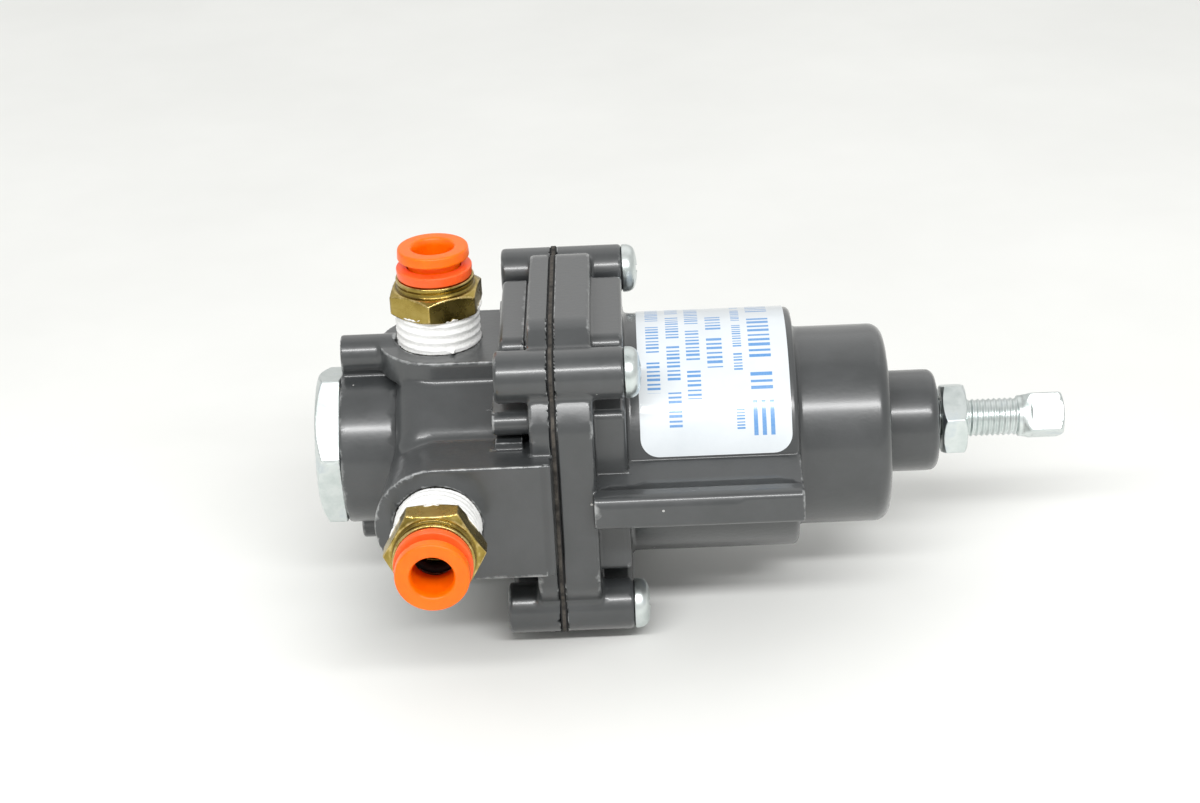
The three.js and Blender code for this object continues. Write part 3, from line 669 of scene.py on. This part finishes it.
def wear_and_shade_group():
    """Where outside edges are made bright, broken up by noise: worn paint that also stands in as painted
    highlight along the edges; and where fillets are darkened as painted shade.
    """
    t = Tree("edge_wear_and_shade", "ShaderNodeTree",
             [("Amount", FLOAT, 1.0), ("Breakup", FLOAT, 300.0)],
             [("Rubbed", FLOAT), ("Dirt", FLOAT)])
    where = t.add("ShaderNodeTexCoord").outputs["Object"]
    edge = t.add("ShaderNodeAttribute", attribute_name="edge").outputs["Fac"]
    noise = t.add("ShaderNodeTexNoise", {"Vector": where, "Scale": t.entry.outputs["Breakup"],
                                         "Detail": 5.0, "Roughness": 0.65}).outputs[0]
    # outside edges: worn paint, and painted highlight along them
    broken = t.math("MULTIPLY", edge, t.math("MULTIPLY_ADD", noise, 2.2, -0.45))
    worn_glinting_edges = t.add("ShaderNodeMapRange", {"Value": broken, "From Min": 0.38, "From Max": 0.8})
    worn_glinting_edges = t.math("MULTIPLY", worn_glinting_edges.outputs[0], t.entry.outputs["Amount"])
    # inside fillets: painted shade
    hollow = t.math("MULTIPLY", edge, -1.0)
    fillet_shade = t.add("ShaderNodeMapRange", {"Value": t.math("MULTIPLY", hollow, t.math("ADD", noise, 0.4)),
                                        "From Min": 0.05, "From Max": 0.6})
    return t.returns(Rubbed=worn_glinting_edges, Dirt=fillet_shade.outputs[0])


def speck_group():
    """Sparse tiny specks of dust, and longer faint scratches."""
    t = Tree("specks", "ShaderNodeTree",
             [("Size", FLOAT, 700.0), ("Density", FLOAT, 0.04)], [("Specks", FLOAT), ("Scratches", FLOAT)])
    where = t.add("ShaderNodeTexCoord").outputs["Object"]
    cells = t.add("ShaderNodeTexVoronoi", {"Vector": where, "Scale": t.entry.outputs["Size"]})
    pick = t.add("ShaderNodeSeparateColor", {0: cells.outputs["Color"]}).outputs[0]
    chosen = t.math("LESS_THAN", pick, t.entry.outputs["Density"])
    dot = t.math("LESS_THAN", cells.outputs["Distance"], 0.16)
    stretch = t.add("ShaderNodeMapping", {"Vector": where, "Rotation": (0.4, 0.7, 0.2),
                                          "Scale": (40.0, 900.0, 900.0)})
    lines = t.add("ShaderNodeTexNoise", {"Vector": stretch.outputs[0], "Scale": 1.0, "Detail": 2.0})
    scratch = t.add("ShaderNodeMapRange", {"Value": lines.outputs[0], "From Min": 0.66, "From Max": 0.74})
    return t.returns(Specks=t.math("MULTIPLY", chosen, dot), Scratches=scratch.outputs[0])


GRAIN, WEAR_AND_SHADE, SPECKS = grain_group(), wear_and_shade_group(), speck_group()


class Finish(Builder):
    """One material with its Principled shader and helpers for what drives it."""

    def __init__(self, name, **sockets):
        self.material = bpy.data.materials.new(name)
        self.material.use_nodes = True
        self.tree = self.material.node_tree
        self.shader = self.tree.nodes["Principled BSDF"]
        for key, value in sockets.items():
            self.shader.inputs[key.replace("_", " ")].default_value = value

    def group(self, tree, **values):
        node = self.add("ShaderNodeGroup", node_tree=tree)
        for key, value in values.items():
            node.inputs[key.replace("_", " ")].default_value = value
        return node.outputs

    def ramp(self, value, *stops):
        node = self.add("ShaderNodeValToRGB", {0: value})
        elements = node.color_ramp.elements
        while len(elements) < len(stops):
            elements.new(0.5)
        for element, (position, colour) in zip(elements, stops):
            element.position = position
            element.color = (*colour, 1.0)
        return node.outputs[0]

    def blend(self, share, a, b):
        a, b = ((*c, 1.0) if isinstance(c, tuple) else c for c in (a, b))
        return self.add("ShaderNodeMix", {0: share, 6: a, 7: b}, data_type="RGBA").outputs[2]

    def drive(self, socket, value):
        self.tree.links.new(value, self.shader.inputs[socket])

    def colour(self, value):
        self.drive("Base Color", value)

    def rough(self, value, gain, start):
        self.drive("Roughness", self.math("MULTIPLY_ADD", value, gain, start))

    def bump(self, height, strength, distance):
        node = self.add("ShaderNodeBump", {"Height": height, "Strength": strength, "Distance": distance})
        self.drive("Normal", node.outputs[0])


def casting_paint():
    """Dark grey enamel over die-cast metal: faint orange peel, edges lightened for wear and as painted
    highlight, fillets darkened as painted shade, and stray dust.
    """
    m = Finish("casting_paint", Specular_IOR_Level=0.5, Coat_Weight=0.85, Coat_Roughness=0.2)
    grain = m.group(GRAIN, Size=1300.0, Broad_Size=160.0, Mix=0.35)
    wear_and_shade = m.group(WEAR_AND_SHADE, Amount=0.75, Breakup=420.0)
    specks = m.group(SPECKS, Size=620.0, Density=0.012)
    base = m.ramp(grain["Mottle"], (0.3, (0.030, 0.033, 0.034)), (0.7, (0.042, 0.045, 0.047)))
    # painted shade: fillets darkened to near black
    fillet_shaded = m.blend(m.math("MULTIPLY", wear_and_shade["Dirt"], 0.55), base, (0.022, 0.024, 0.025))
    # edges lightened: worn paint, and painted highlight along them
    worn_glinting_edges = m.blend(wear_and_shade["Rubbed"], fillet_shaded, (0.34, 0.35, 0.35))
    m.colour(m.blend(m.math("MULTIPLY", specks["Specks"], 0.6), worn_glinting_edges, (0.6, 0.6, 0.58)))
    m.rough(grain["Mottle"], 0.22, 0.27)
    m.bump(grain["Height"], 0.22, 0.0002)
    return m.material


def zinc_plate():
    """Bright zinc with a faint blue passivation and drawn lines."""
    m = Finish("zinc_plate", Metallic=1.0)
    grain = m.group(GRAIN, Size=2200.0, Broad_Size=260.0, Mix=0.3)
    wear_and_shade = m.group(WEAR_AND_SHADE, Amount=0.6, Breakup=500.0)
    specks = m.group(SPECKS, Size=500.0, Density=0.03)
    base = m.ramp(grain["Mottle"], (0.3, (0.56, 0.62, 0.61)), (0.55, (0.70, 0.745, 0.735)),
                  (0.75, (0.58, 0.64, 0.67)))
    # painted shade: fillets darkened to dull grey
    fillet_shaded = m.blend(m.math("MULTIPLY", wear_and_shade["Dirt"], 0.5), base, (0.22, 0.22, 0.21))
    m.colour(m.blend(m.math("MULTIPLY", specks["Specks"], 0.7), fillet_shaded, (0.2, 0.19, 0.17)))
    rough = m.math("MULTIPLY_ADD", grain["Mottle"], 0.25, 0.2)
    m.rough(specks["Scratches"], 0.15, rough)
    m.bump(m.math("MULTIPLY_ADD", specks["Scratches"], -0.4, grain["Height"]), 0.12, 0.0001)
    return m.material


def brass():
    """Handled, slightly tarnished yellow-olive brass, with edges lit up as wear and painted highlight and
    fillets darkened as painted shade.
    """
    m = Finish("brass", Metallic=1.0)
    grain = m.group(GRAIN, Size=1500.0, Broad_Size=210.0, Mix=0.4)
    wear_and_shade = m.group(WEAR_AND_SHADE, Amount=0.8, Breakup=450.0)
    specks = m.group(SPECKS, Size=600.0, Density=0.02)
    base = m.ramp(grain["Mottle"], (0.28, (0.20, 0.135, 0.025)), (0.52, (0.36, 0.265, 0.065)),
                  (0.75, (0.47, 0.36, 0.11)))
    # painted shade: fillets darkened to dark brown
    fillet_shaded = m.blend(m.math("MULTIPLY", wear_and_shade["Dirt"], 0.7), base, (0.12, 0.075, 0.025))
    # edges made bright yellow: worn brass, and painted highlight along them
    m.colour(m.blend(wear_and_shade["Rubbed"], fillet_shaded, (0.7, 0.54, 0.24)))
    rough = m.math("MULTIPLY_ADD", grain["Mottle"], 0.28, 0.12)
    m.rough(specks["Scratches"], 0.2, rough)
    m.bump(m.math("MULTIPLY_ADD", specks["Scratches"], -0.5, grain["Height"]), 0.16, 0.0001)
    return m.material


def moulded(name, low, high, glow):
    """Smooth moulded acetal that lets a little light through."""
    m = Finish(name, Subsurface_Weight=0.25, Subsurface_Scale=0.0012, Specular_IOR_Level=0.35,
               Subsurface_Radius=(1.0, glow, 0.1))
    grain = m.group(GRAIN, Size=1800.0, Broad_Size=300.0, Mix=0.3)
    specks = m.group(SPECKS, Size=500.0, Density=0.01)
    base = m.ramp(grain["Mottle"], (0.3, low), (0.7, high))
    m.colour(m.blend(m.math("MULTIPLY", specks["Specks"], 0.4), base, (0.35, 0.12, 0.05)))
    m.rough(grain["Mottle"], 0.18, 0.22)
    m.bump(grain["Height"], 0.08, 0.0001)
    return m.material


def ptfe_tape():
    """White wrapped tape and paste: soft, slightly ribbed and smudged."""
    m = Finish("ptfe_tape", Subsurface_Weight=0.2, Subsurface_Scale=0.001,
               Subsurface_Radius=(1.0, 1.0, 1.0), Sheen_Weight=0.1)
    grain = m.group(GRAIN, Size=900.0, Broad_Size=240.0, Mix=0.5)
    base = m.ramp(grain["Mottle"], (0.3, (0.80, 0.80, 0.78)), (0.6, (0.9, 0.9, 0.89)))
    m.colour(base)
    m.rough(grain["Mottle"], 0.2, 0.45)
    m.bump(grain["Height"], 0.5, 0.0002)
    return m.material


def rubber():
    """Matt black seal rubber."""
    m = Finish("rubber", Specular_IOR_Level=0.4)
    grain = m.group(GRAIN, Size=1600.0, Broad_Size=200.0, Mix=0.5)
    m.colour(m.ramp(grain["Mottle"], (0.3, (0.018, 0.018, 0.018)), (0.7, (0.032, 0.031, 0.03))))
    m.rough(grain["Mottle"], 0.2, 0.55)
    m.bump(grain["Height"], 0.2, 0.0001)
    return m.material


def diaphragm_edge():
    """Cut edge of fabric reinforced rubber: grey-brown weave between two black skins."""
    m = Finish("diaphragm_fabric", Specular_IOR_Level=0.3)
    where = m.add("ShaderNodeTexCoord").outputs["Object"]
    x = m.add("ShaderNodeSeparateXYZ", {0: where}).outputs["X"]
    middle = (BODY_X1 + BONNET_X0) / 2 * MM
    off = m.math("ABSOLUTE", m.math("SUBTRACT", x, middle))
    skin = m.math("GREATER_THAN", off, 0.27 * MM)
    grain = m.group(GRAIN, Size=2600.0, Broad_Size=700.0, Mix=0.4)
    weave = m.ramp(grain["Mottle"], (0.35, (0.02, 0.018, 0.016)), (0.65, (0.085, 0.076, 0.065)))
    m.colour(m.blend(skin, weave, (0.012, 0.012, 0.012)))
    m.rough(grain["Mottle"], 0.2, 0.65)
    m.bump(grain["Height"], 0.6, 0.0002)
    return m.material


def spring_steel():
    """Dull drawn wire."""
    m = Finish("spring_steel", Metallic=1.0)
    grain = m.group(GRAIN, Size=1800.0, Broad_Size=260.0, Mix=0.4)
    m.colour(m.ramp(grain["Mottle"], (0.3, (0.30, 0.31, 0.32)), (0.7, (0.46, 0.46, 0.46))))
    m.rough(grain["Mottle"], 0.25, 0.25)
    m.bump(grain["Height"], 0.15, 0.0001)
    return m.material


def stamped_aluminium():
    """Pale pressed sheet with faint scratches."""
    m = Finish("aluminium", Metallic=1.0)
    grain = m.group(GRAIN, Size=1500.0, Broad_Size=200.0, Mix=0.4)
    specks = m.group(SPECKS, Size=500.0, Density=0.02)
    m.colour(m.ramp(grain["Mottle"], (0.3, (0.62, 0.63, 0.64)), (0.7, (0.78, 0.78, 0.79))))
    m.rough(specks["Scratches"], 0.2, 0.32)
    m.bump(grain["Height"], 0.15, 0.0001)
    return m.material


LABEL_BLUE = (0.03, 0.21, 0.52)
# Each printed row in mm: distance from the label's +X edge, height, start and end along it, and the
# room that two strokes take.
PRINT_ROWS = ((4.5, 3.5, 10.0, 38.0, 2.3), (8.1, 1.4, 13.8, 34.0, 1.15), (8.1, 1.3, 3.7, 7.5, 1.0),
              (11.8, 2.5, 14.4, 27.0, 1.9), (15.3, 2.2, 9.1, 40.0, 1.6), (18.5, 2.1, 4.6, 42.0, 1.55),
              (21.8, 2.1, 10.3, 38.0, 1.55))
WORD = 11.4           # strokes between one wide gap and the next


def label_film():
    """Glossy white film with generic rows of blue printed strokes and a block of stripes."""
    m = Finish("label_film", Coat_Weight=0.6, Coat_Roughness=0.08, Specular_IOR_Level=0.5)
    uv = m.add("ShaderNodeUVMap", uv_map="print").outputs[0]
    parts = m.add("ShaderNodeSeparateXYZ", {0: uv}).outputs
    across, along = parts["X"], parts["Y"]
    ink = None
    for k, (centre, height, start, end, spacing) in enumerate(PRINT_ROWS):
        row = m.math("COMPARE", across, centre, height / 2)
        inside = m.math("COMPARE", along, (start + end) / 2, (end - start) / 2)
        place = m.math("DIVIDE", along, spacing / 2)
        stroke = m.math("FLOOR", place)
        uneven = m.math("FRACT", m.math("MULTIPLY", stroke, 0.618))
        solid = m.math("LESS_THAN", m.math("FRACT", place), m.math("MULTIPLY_ADD", uneven, 0.3, 0.32))
        word = m.math("ADD", m.math("DIVIDE", stroke, WORD), 0.37 * k)
        solid = m.math("MULTIPLY", solid, m.math("GREATER_THAN", m.math("FRACT", word), 0.17))
        mark = m.math("MULTIPLY", m.math("MULTIPLY", row, inside), solid)
        ink = mark if ink is None else m.math("MAXIMUM", ink, mark)
    stripes = m.math("LESS_THAN", m.math("FRACT", m.math("DIVIDE", across, 1.35)), 0.5)
    stripes = m.math("MULTIPLY", stripes, m.math("COMPARE", across, 4.7, 2.0))
    stripes = m.math("MULTIPLY", stripes, m.math("COMPARE", along, 5.7, 2.8))
    ink = m.math("MAXIMUM", ink, stripes)
    grain = m.group(GRAIN, Size=3000.0, Broad_Size=120.0, Mix=0.5)
    paper = m.ramp(grain["Mottle"], (0.3, (0.59, 0.63, 0.66)), (0.7, (0.65, 0.685, 0.71)))
    faded = m.math("MULTIPLY", ink, m.math("MULTIPLY_ADD", grain["Height"], 0.5, 0.62))
    m.colour(m.blend(faded, paper, LABEL_BLUE))
    m.rough(grain["Mottle"], 0.12, 0.24)
    m.bump(grain["Height"], 0.05, 0.0001)
    return m.material


FINISHES = {
    "casting_paint": casting_paint(), "zinc_plate": zinc_plate(), "brass": brass(),
    "orange_plastic": moulded("orange_plastic", (0.92, 0.135, 0.0005), (0.97, 0.165, 0.001), 0.16),
    "salmon_plastic": moulded("salmon_plastic", (0.90, 0.105, 0.015), (0.96, 0.135, 0.028), 0.22),
    "ptfe_tape": ptfe_tape(), "rubber": rubber(), "diaphragm_fabric": diaphragm_edge(),
    "spring_steel": spring_steel(), "aluminium": stamped_aluminium(), "label_film": label_film(),
}


# ---- pieces ----------------------------------------------------------------------------------
def settle(name, mesh, slot, body, *nodes):
    """Gives a finished mesh its finish, its body and the CAD nodes that it stands for."""
    mesh.materials.clear()
    mesh.materials.append(FINISHES[slot])
    piece = object_from(name, mesh)
    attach(piece, body)
    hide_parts(*nodes)
    return piece


def settle_skin(name, field, low, high, cell, slot, body, node, place=None):
    """Skins a field between two corners and settles it, moved to its place first if it has one."""
    mesh = skinned(name, field, low, high, cell)
    settle(name, mesh if place is None else placed(mesh, place), slot, body, node)


def castings():
    settle_skin("body_casting_skin", body_field, (BODY_X0, BODY_Y0, BODY_Z0), (BODY_X1, BODY_Y1, BODY_Z1),
                0.42, "casting_paint", "housing", "body_casting")
    settle_skin("bonnet_skin", bonnet_field, (BONNET_X0, BODY_Y0, BODY_Z0), (NECK_END, -BODY_Y0, BODY_Z1),
                0.42, "casting_paint", "housing", "bonnet")


def fasteners():
    head = skinned("cover_screw_model", cover_screw_field, (LOBE_HEAD_X0 - LOBE_HEAD_SEAT, -4.1, -4.1),
                   (2.9, 4.1, 4.1), 0.2)
    model = object_from("cover_screw_model", head)
    pattern = grown("cover_screws", screw_pattern_tree(), {
        "Fastener": model, "Count": 4, "Bolt Circle": BOLT_R * MM, "Seat": LOBE_HEAD_SEAT * MM, "Seed": 3,
        "Finish": FINISHES["zinc_plate"]})
    bpy.data.objects.remove(model)
    settle("cover_screws", pattern, "zinc_plate", "housing", *[f"bonnet_screw_{k}" for k in (1, 2, 3, 4)])
    settle_skin("bottom_plug_turned", plug_field, (0, -13.8, -13.8), (PLUG_SHANK_END, 13.8, 13.8), 0.28,
                "zinc_plate", "housing", "bottom_plug")
    settle_skin("lock_nut_turned", nut_field, (NUT_X0, -6.5, -6.5), (NUT_X1, 6.5, 6.5), 0.16,
                "zinc_plate", "lock_nut", "lock_nut")
    head = skinned("screw_head", screw_head_field, (HEAD_X0 - 1.1, -4.7, -4.7),
                   (SCREW_END, 4.7, 4.7), 0.16)
    shaft = grown("screw_shaft", thread_tree(), {
        "Radius": (SCREW_R - 0.02) * MM, "Depth": 0.34 * MM, "Pitch": THREAD_PITCH * MM,
        "Start": (SCREW_TIP + 0.1) * MM, "Length": (HEAD_X0 - 0.7 - SCREW_TIP) * MM,
        "Sides": 56, "Rings": 400, "Finish": FINISHES["zinc_plate"]})
    screw = joined("adjusting_screw_threaded", shaft, head)
    settle("adjusting_screw_threaded", screw, "zinc_plate", "adjusting_screw", "adjusting_screw")
    settle_skin("pipe_plug_turned", pipe_plug_field, (-6, -6.7, -6.7), (-0.4, 6.7, 6.7), 0.22,
                "zinc_plate", "housing", "pipe_plug", UNDER_PLACE)


def springs():
    tree = coil_tree()
    main = grown("range_spring_coil", tree, {
        "Mean Radius": 10.5 * MM, "Wire Radius": 1.1 * MM, "Start": SPRING_X0 * MM,
        "Length": (SPRING_X1 - SPRING_X0) * MM, "Turns": 7.0, "Steps": 420,
        "Finish": FINISHES["spring_steel"]})
    main = settle("range_spring_coil", main, "spring_steel", "housing", "range_spring")
    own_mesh(main)
    small = grown("valve_spring_coil", tree, {
        "Mean Radius": 4.6 * MM, "Wire Radius": 0.4 * MM, "Start": VALVE_SPRING_X0 * MM,
        "Length": (VALVE_SPRING_X1 - VALVE_SPRING_X0) * MM, "Turns": 6.0, "Steps": 300,
        "Finish": FINISHES["spring_steel"]})
    small = settle("valve_spring_coil", small, "spring_steel", "housing", "valve_spring")
    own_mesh(small)


def wavy(angle, waves, seed):
    """A repeatable ragged curve around a circle, about -1 to 1."""
    rng = np.random.default_rng(seed)
    total = np.zeros_like(angle)
    for wave in waves:
        total += rng.uniform(0.4, 1.0) * np.sin(wave * angle + rng.uniform(0, 2 * math.pi))
    return total / math.sqrt(len(waves))


def tape_mesh(name, seed, stray_angle):
    """Tape wound into the threads: ribbed, with a torn top edge that climbs onto the hexagon."""
    sides, rows = 220, 44
    angle = np.linspace(0, 2 * math.pi, sides, endpoint=False)
    torn = 6.1 + 0.35 * wavy(angle, (2, 3, 5, 9, 17), seed) + 0.15 * wavy(angle, (31, 47), seed + 1)
    torn = np.clip(torn, 5.5, 6.9)
    share = np.linspace(0, 1, rows)[:, None]
    along = 0.03 + share * (torn - 0.03)
    rib = np.abs(((along / 1.41 + angle / (2 * math.pi)) % 1) - 0.5) * 2
    rng = np.random.default_rng(seed)
    rough = 0.03 * rng.standard_normal((rows, sides))
    bulge = 0.42 * np.clip((along - 5.3) / 0.7, 0, 1)
    outer = 6.72 + 0.22 * rib ** 1.5 + rough + bulge + 0.05 * wavy(angle, (4, 7, 11), seed + 2)
    outer += 0.28 * np.clip(0.5 - along, 0, 0.5)
    stray = np.exp(-((angle - stray_angle) / 0.05) ** 2) * np.exp(-((along - 0.45) / 0.3) ** 2)
    outer += 0.9 * stray
    inner = np.full_like(outer, 6.5)
    points, faces = [], []
    for radius in (outer, inner):
        points.append(np.stack([along, radius * np.cos(angle), radius * np.sin(angle)], -1).reshape(-1, 3))
    size = rows * sides
    for r in range(rows - 1):
        for s in range(sides):
            a, b = r * sides + s, r * sides + (s + 1) % sides
            faces.append([a, b, b + sides, a + sides])
            faces.append([size + a, size + a + sides, size + b + sides, size + b])
    for s in range(sides):
        n = (s + 1) % sides
        top = (rows - 1) * sides
        faces.append([s, size + s, size + n, n])
        faces.append([top + s, top + n, size + top + n, size + top + s])
    return outward(mesh_from(name, np.concatenate(points), faces))


def tube_fitting(name, place, hex_turn, body, seed):
    """Push-in fitting with its tape, its inner rings and the release button, which is the part that moves."""
    settle_skin(f"{name}_fitting_turned", fitting_field(hex_turn), (-5.8, -8.2, -8.2), (11.4, 8.2, 8.2), 0.2,
                "brass", "housing", f"{name}_fitting_body", place)
    tape = placed(tape_mesh(f"{name}_wound_tape", seed, math.radians(200)), place)
    settle(f"{name}_wound_tape", tape, "ptfe_tape", "housing", f"{name}_thread_tape")
    for piece, profile, sides, fillet, steps, slot, rides, node in (
            ("seal_ring", [[4.7, 3.6], [4.7, 5.2], [6.9, 5.2], [6.9, 3.6], [5.8, 3.35]],
             96, 0.5, 5, "rubber", "housing", "tube_seal"),
            ("grab_ring", [[7.05, 5.2], [7.4, 5.2], [7.85, 4.0], [7.55, 4.0]],
             96, 0.05, 2, "spring_steel", "housing", "collet"),
            ("guide_moulding", [[8.1, 4.45], [8.1, 5.2], [11.45, 5.2], [11.45, 6.1],
                                [13.15, 6.2], [13.3, 4.45]],
             128, 0.3, 5, "salmon_plastic", "housing", "guide_ring"),
            ("button_moulding", [[9.15, TUBE_R + 0.15], [9.15, 4.3], [14.6, 4.3], [14.6, 5.9],
                                 [FIT_HEIGHT, 5.75], [FIT_HEIGHT, TUBE_R + 0.35], [FIT_HEIGHT - 1.0, TUBE_R]],
             128, 0.4, 6, "orange_plastic", body, "release_button")):
        mesh = placed(turned_mesh(f"{name}_{piece}", profile, sides, fillet, steps), place)
        settle(f"{name}_{piece}", mesh, slot, rides, f"{name}_{node}")


def label():
    """A thin film with round corners, wrapped round the bonnet, printed along its own map."""
    low, high = (math.radians(a) for a in LABEL_ANGLES)
    radius = LABEL_R + 0.06
    thick, corner = 0.14, 3.0
    arc = (high - low) * radius
    width = LABEL_X1 - LABEL_X0
    near = corner * (1 - np.cos(np.linspace(0, math.pi / 2, 10)))
    across = np.concatenate([near, np.linspace(corner, width - corner, 20)[1:-1], width - near[::-1]])
    inset = np.zeros_like(across)
    for k, u in enumerate(across):
        edge = min(u, width - u)
        if edge < corner:
            inset[k] = corner - math.sqrt(max(corner ** 2 - (corner - edge) ** 2, 0))
    rows = 90
    share = np.linspace(0, 1, rows)
    along = inset[:, None] + share[None, :] * (arc - 2 * inset[:, None])
    angle = low + along / radius
    points, flat = [], []
    for r in (radius + thick, radius):
        x = np.repeat((LABEL_X0 + across)[:, None], rows, 1)
        points.append(np.stack([x, -r * np.cos(angle), r * np.sin(angle)], -1).reshape(-1, 3))
        flat.append(np.stack([width - np.repeat(across[:, None], rows, 1), along], -1).reshape(-1, 2))
    cols = len(across)
    size = cols * rows
    faces = []
    for c in range(cols - 1):
        for r in range(rows - 1):
            a = c * rows + r
            faces.append([a, a + rows, a + rows + 1, a + 1])
            faces.append([size + a, size + a + 1, size + a + rows + 1, size + a + rows])
    rim = [c * rows for c in range(cols)] + [(cols - 1) * rows + r for r in range(1, rows)]
    rim += [c * rows + rows - 1 for c in range(cols - 2, -1, -1)] + list(range(rows - 2, 0, -1))
    for k, a in enumerate(rim):
        b = rim[(k + 1) % len(rim)]
        faces.append([a, b, size + b, size + a])
    mesh = mesh_from("wrapped_label", np.concatenate(points), faces)
    flat = np.concatenate(flat)
    uv = mesh.uv_layers.new(name="print")
    for loop in mesh.loops:
        uv.data[loop.index].uv = flat[loop.vertex_index]
    settle("wrapped_label", sharp_edges(outward(mesh)), "label_film", "housing", "nameplate_label")


def diaphragm_pieces():
    """The clamped rim with its fabric edge, and the middle that moves with the plates."""
    sides = 1080
    angle = np.linspace(0, 2 * math.pi, sides, endpoint=False)
    spoke = np.linspace(20, 36, 900)[:, None]
    y, z = spoke * np.cos(angle), spoke * np.sin(angle)
    outside = np.minimum(rounded_and(
        rounded_and(np.abs(y) - FLANGE_FLAT + 0.15, np.abs(z) - FLANGE_FLAT + 0.15, 0.5),
        np.hypot(y, z) - FLANGE_CORNER + 0.05, 0.8), lobes(y, z) - LOBE_R - 0.18)
    reach = np.array([spoke[np.nonzero(outside[:, k] < 0)[0][-1], 0] for k in range(sides)])
    reach = np.convolve(np.concatenate([reach[-3:], reach, reach[:3]]), np.ones(7) / 7, "valid")
    reach += 0.05 * wavy(angle, (37, 61, 97, 151), 5)
    half = (BONNET_X0 - BODY_X1) / 2 - 0.01
    middle = (BONNET_X0 + BODY_X1) / 2
    section = [(-half, 20.7), (-half, -0.12), (-half * 0.5, 0.0), (0.0, -0.04), (half * 0.5, 0.0),
               (half, -0.12), (half, 20.7)]
    rows = []
    for x, offset in section:
        radius = np.full(sides, offset) if offset > 1 else reach + offset
        rows.append(np.stack([np.full(sides, middle + x), radius * np.cos(angle),
                              radius * np.sin(angle)], -1))
    rim = outward(mesh_from("diaphragm_rim", np.concatenate(rows), ring_faces(len(rows), sides)))
    rim = sharp_edges(rim, 35)
    settle("diaphragm_rim", rim, "diaphragm_fabric", "housing", "diaphragm")
    centre = turned_mesh("diaphragm_middle", [
        [middle - half, 2.3], [middle + half, 2.3], [middle + half, 16.2], [middle + half + 1.2, 18.2],
        [middle + half, 20.3], [middle - half, 20.3], [middle - half + 1.2, 18.2], [middle - half, 16.2]],
        128, 0.8, 4)
    piece = object_from("diaphragm_middle", centre)
    centre.materials.append(FINISHES["diaphragm_fabric"])
    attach(piece, "diaphragm_plates")
    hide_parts("diaphragm")


def inner_parts():
    """Pieces that only show when the regulator comes apart."""
    plate_x0, plate_x1 = [v[0] for v in cad_box("pressure_plate")]
    plate = turned_mesh("pressure_plate_stamped", [
        [plate_x0, 2.2], [plate_x0, 15.5], [plate_x0 + 1.5, 15.5], [plate_x0 + 1.5, 8.2],
        [plate_x1, 8.2], [plate_x1, 2.2]], 128, 0.5, 5)
    settle("pressure_plate_stamped", plate, "aluminium", "diaphragm_plates", "pressure_plate")
    for name, slot in (("relief_seat", "brass"), ("diaphragm_nut", "zinc_plate"),
                       ("spring_seat", "zinc_plate"), ("valve_seat", "brass"), ("valve_poppet", "brass"),
                       ("valve_face", "rubber"), ("plug_o_ring", "rubber")):
        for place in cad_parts[name].material_slots:
            place.material = FINISHES[slot]


# ---- studio ----------------------------------------------------------------------------------
def camera():
    """Looks at the middle of the regulator from the inlet side and above."""
    azimuth, elevation, roll = (math.radians(a) for a in (1.08, 25.90, -2.83))
    target = Vector((46.78, 0, 5.83)) * MM
    distance = 433.31 * MM
    back = Vector((math.sin(azimuth) * math.cos(elevation), -math.cos(azimuth) * math.cos(elevation),
                   math.sin(elevation)))
    right = Vector((math.cos(azimuth), math.sin(azimuth), 0))
    up = back.cross(right)
    turned_right = math.cos(roll) * right + math.sin(roll) * up
    turned_up = math.cos(roll) * up - math.sin(roll) * right
    data = bpy.data.cameras.new("camera")
    data.sensor_width = 36
    data.lens = 78
    data.clip_start = 0.01
    eye = bpy.data.objects.new("camera", data)
    bpy.context.collection.objects.link(eye)
    rotation = Matrix((turned_right, turned_up, back)).transposed()
    eye.matrix_world = Matrix.Translation(target + back * distance) @ rotation.to_4x4()
    bpy.context.scene.camera = eye


def area_light(name, place, aim, size, power):
    data = bpy.data.lights.new(name, "AREA")
    data.shape = "RECTANGLE"
    data.size, data.size_y = size
    data.energy = power
    lamp = bpy.data.objects.new(name, data)
    bpy.context.collection.objects.link(lamp)
    lamp.location = place
    lamp.rotation_euler = (Vector(aim) - Vector(place)).to_track_quat("-Z", "Y").to_euler()


def studio():
    world = bpy.data.worlds.new("studio")
    bpy.context.scene.world = world
    world.use_nodes = True
    world.node_tree.nodes["Background"].inputs[0].default_value = (1.0, 1.0, 0.985, 1)
    world.node_tree.nodes["Background"].inputs[1].default_value = 0.70
    middle = (0.06, 0, 0)
    area_light("front_strip", (0.06, -0.43, 0.45), middle, (0.8, 0.06), 4.0)
    area_light("back_softbox", (0.06, 0.62, 0.80), middle, (1.7, 1.0), 2.0)
    floor_z = BODY_Z0 * MM
    bpy.ops.mesh.primitive_plane_add(size=6, location=(0, 0, floor_z))
    floor = bpy.context.object
    floor.name = "floor"
    m = Finish("floor_paper")
    grain = m.group(GRAIN, Size=400.0, Broad_Size=12.0, Mix=0.5)
    m.colour(m.ramp(grain["Mottle"], (0.3, (0.78, 0.785, 0.765)), (0.7, (0.83, 0.835, 0.815))))
    m.rough(grain["Mottle"], 0.1, 0.5)
    floor.data.materials.append(m.material)
    bpy.context.scene.view_settings.view_transform = "Standard"


camera()
castings()
fasteners()
springs()
tube_fitting("inlet", INLET_PLACE, 0, "inlet_button", 11)
tube_fitting("gauge", GAUGE_PLACE, 54.5, "gauge_button", 23)
label()
diaphragm_pieces()
inner_parts()
studio()
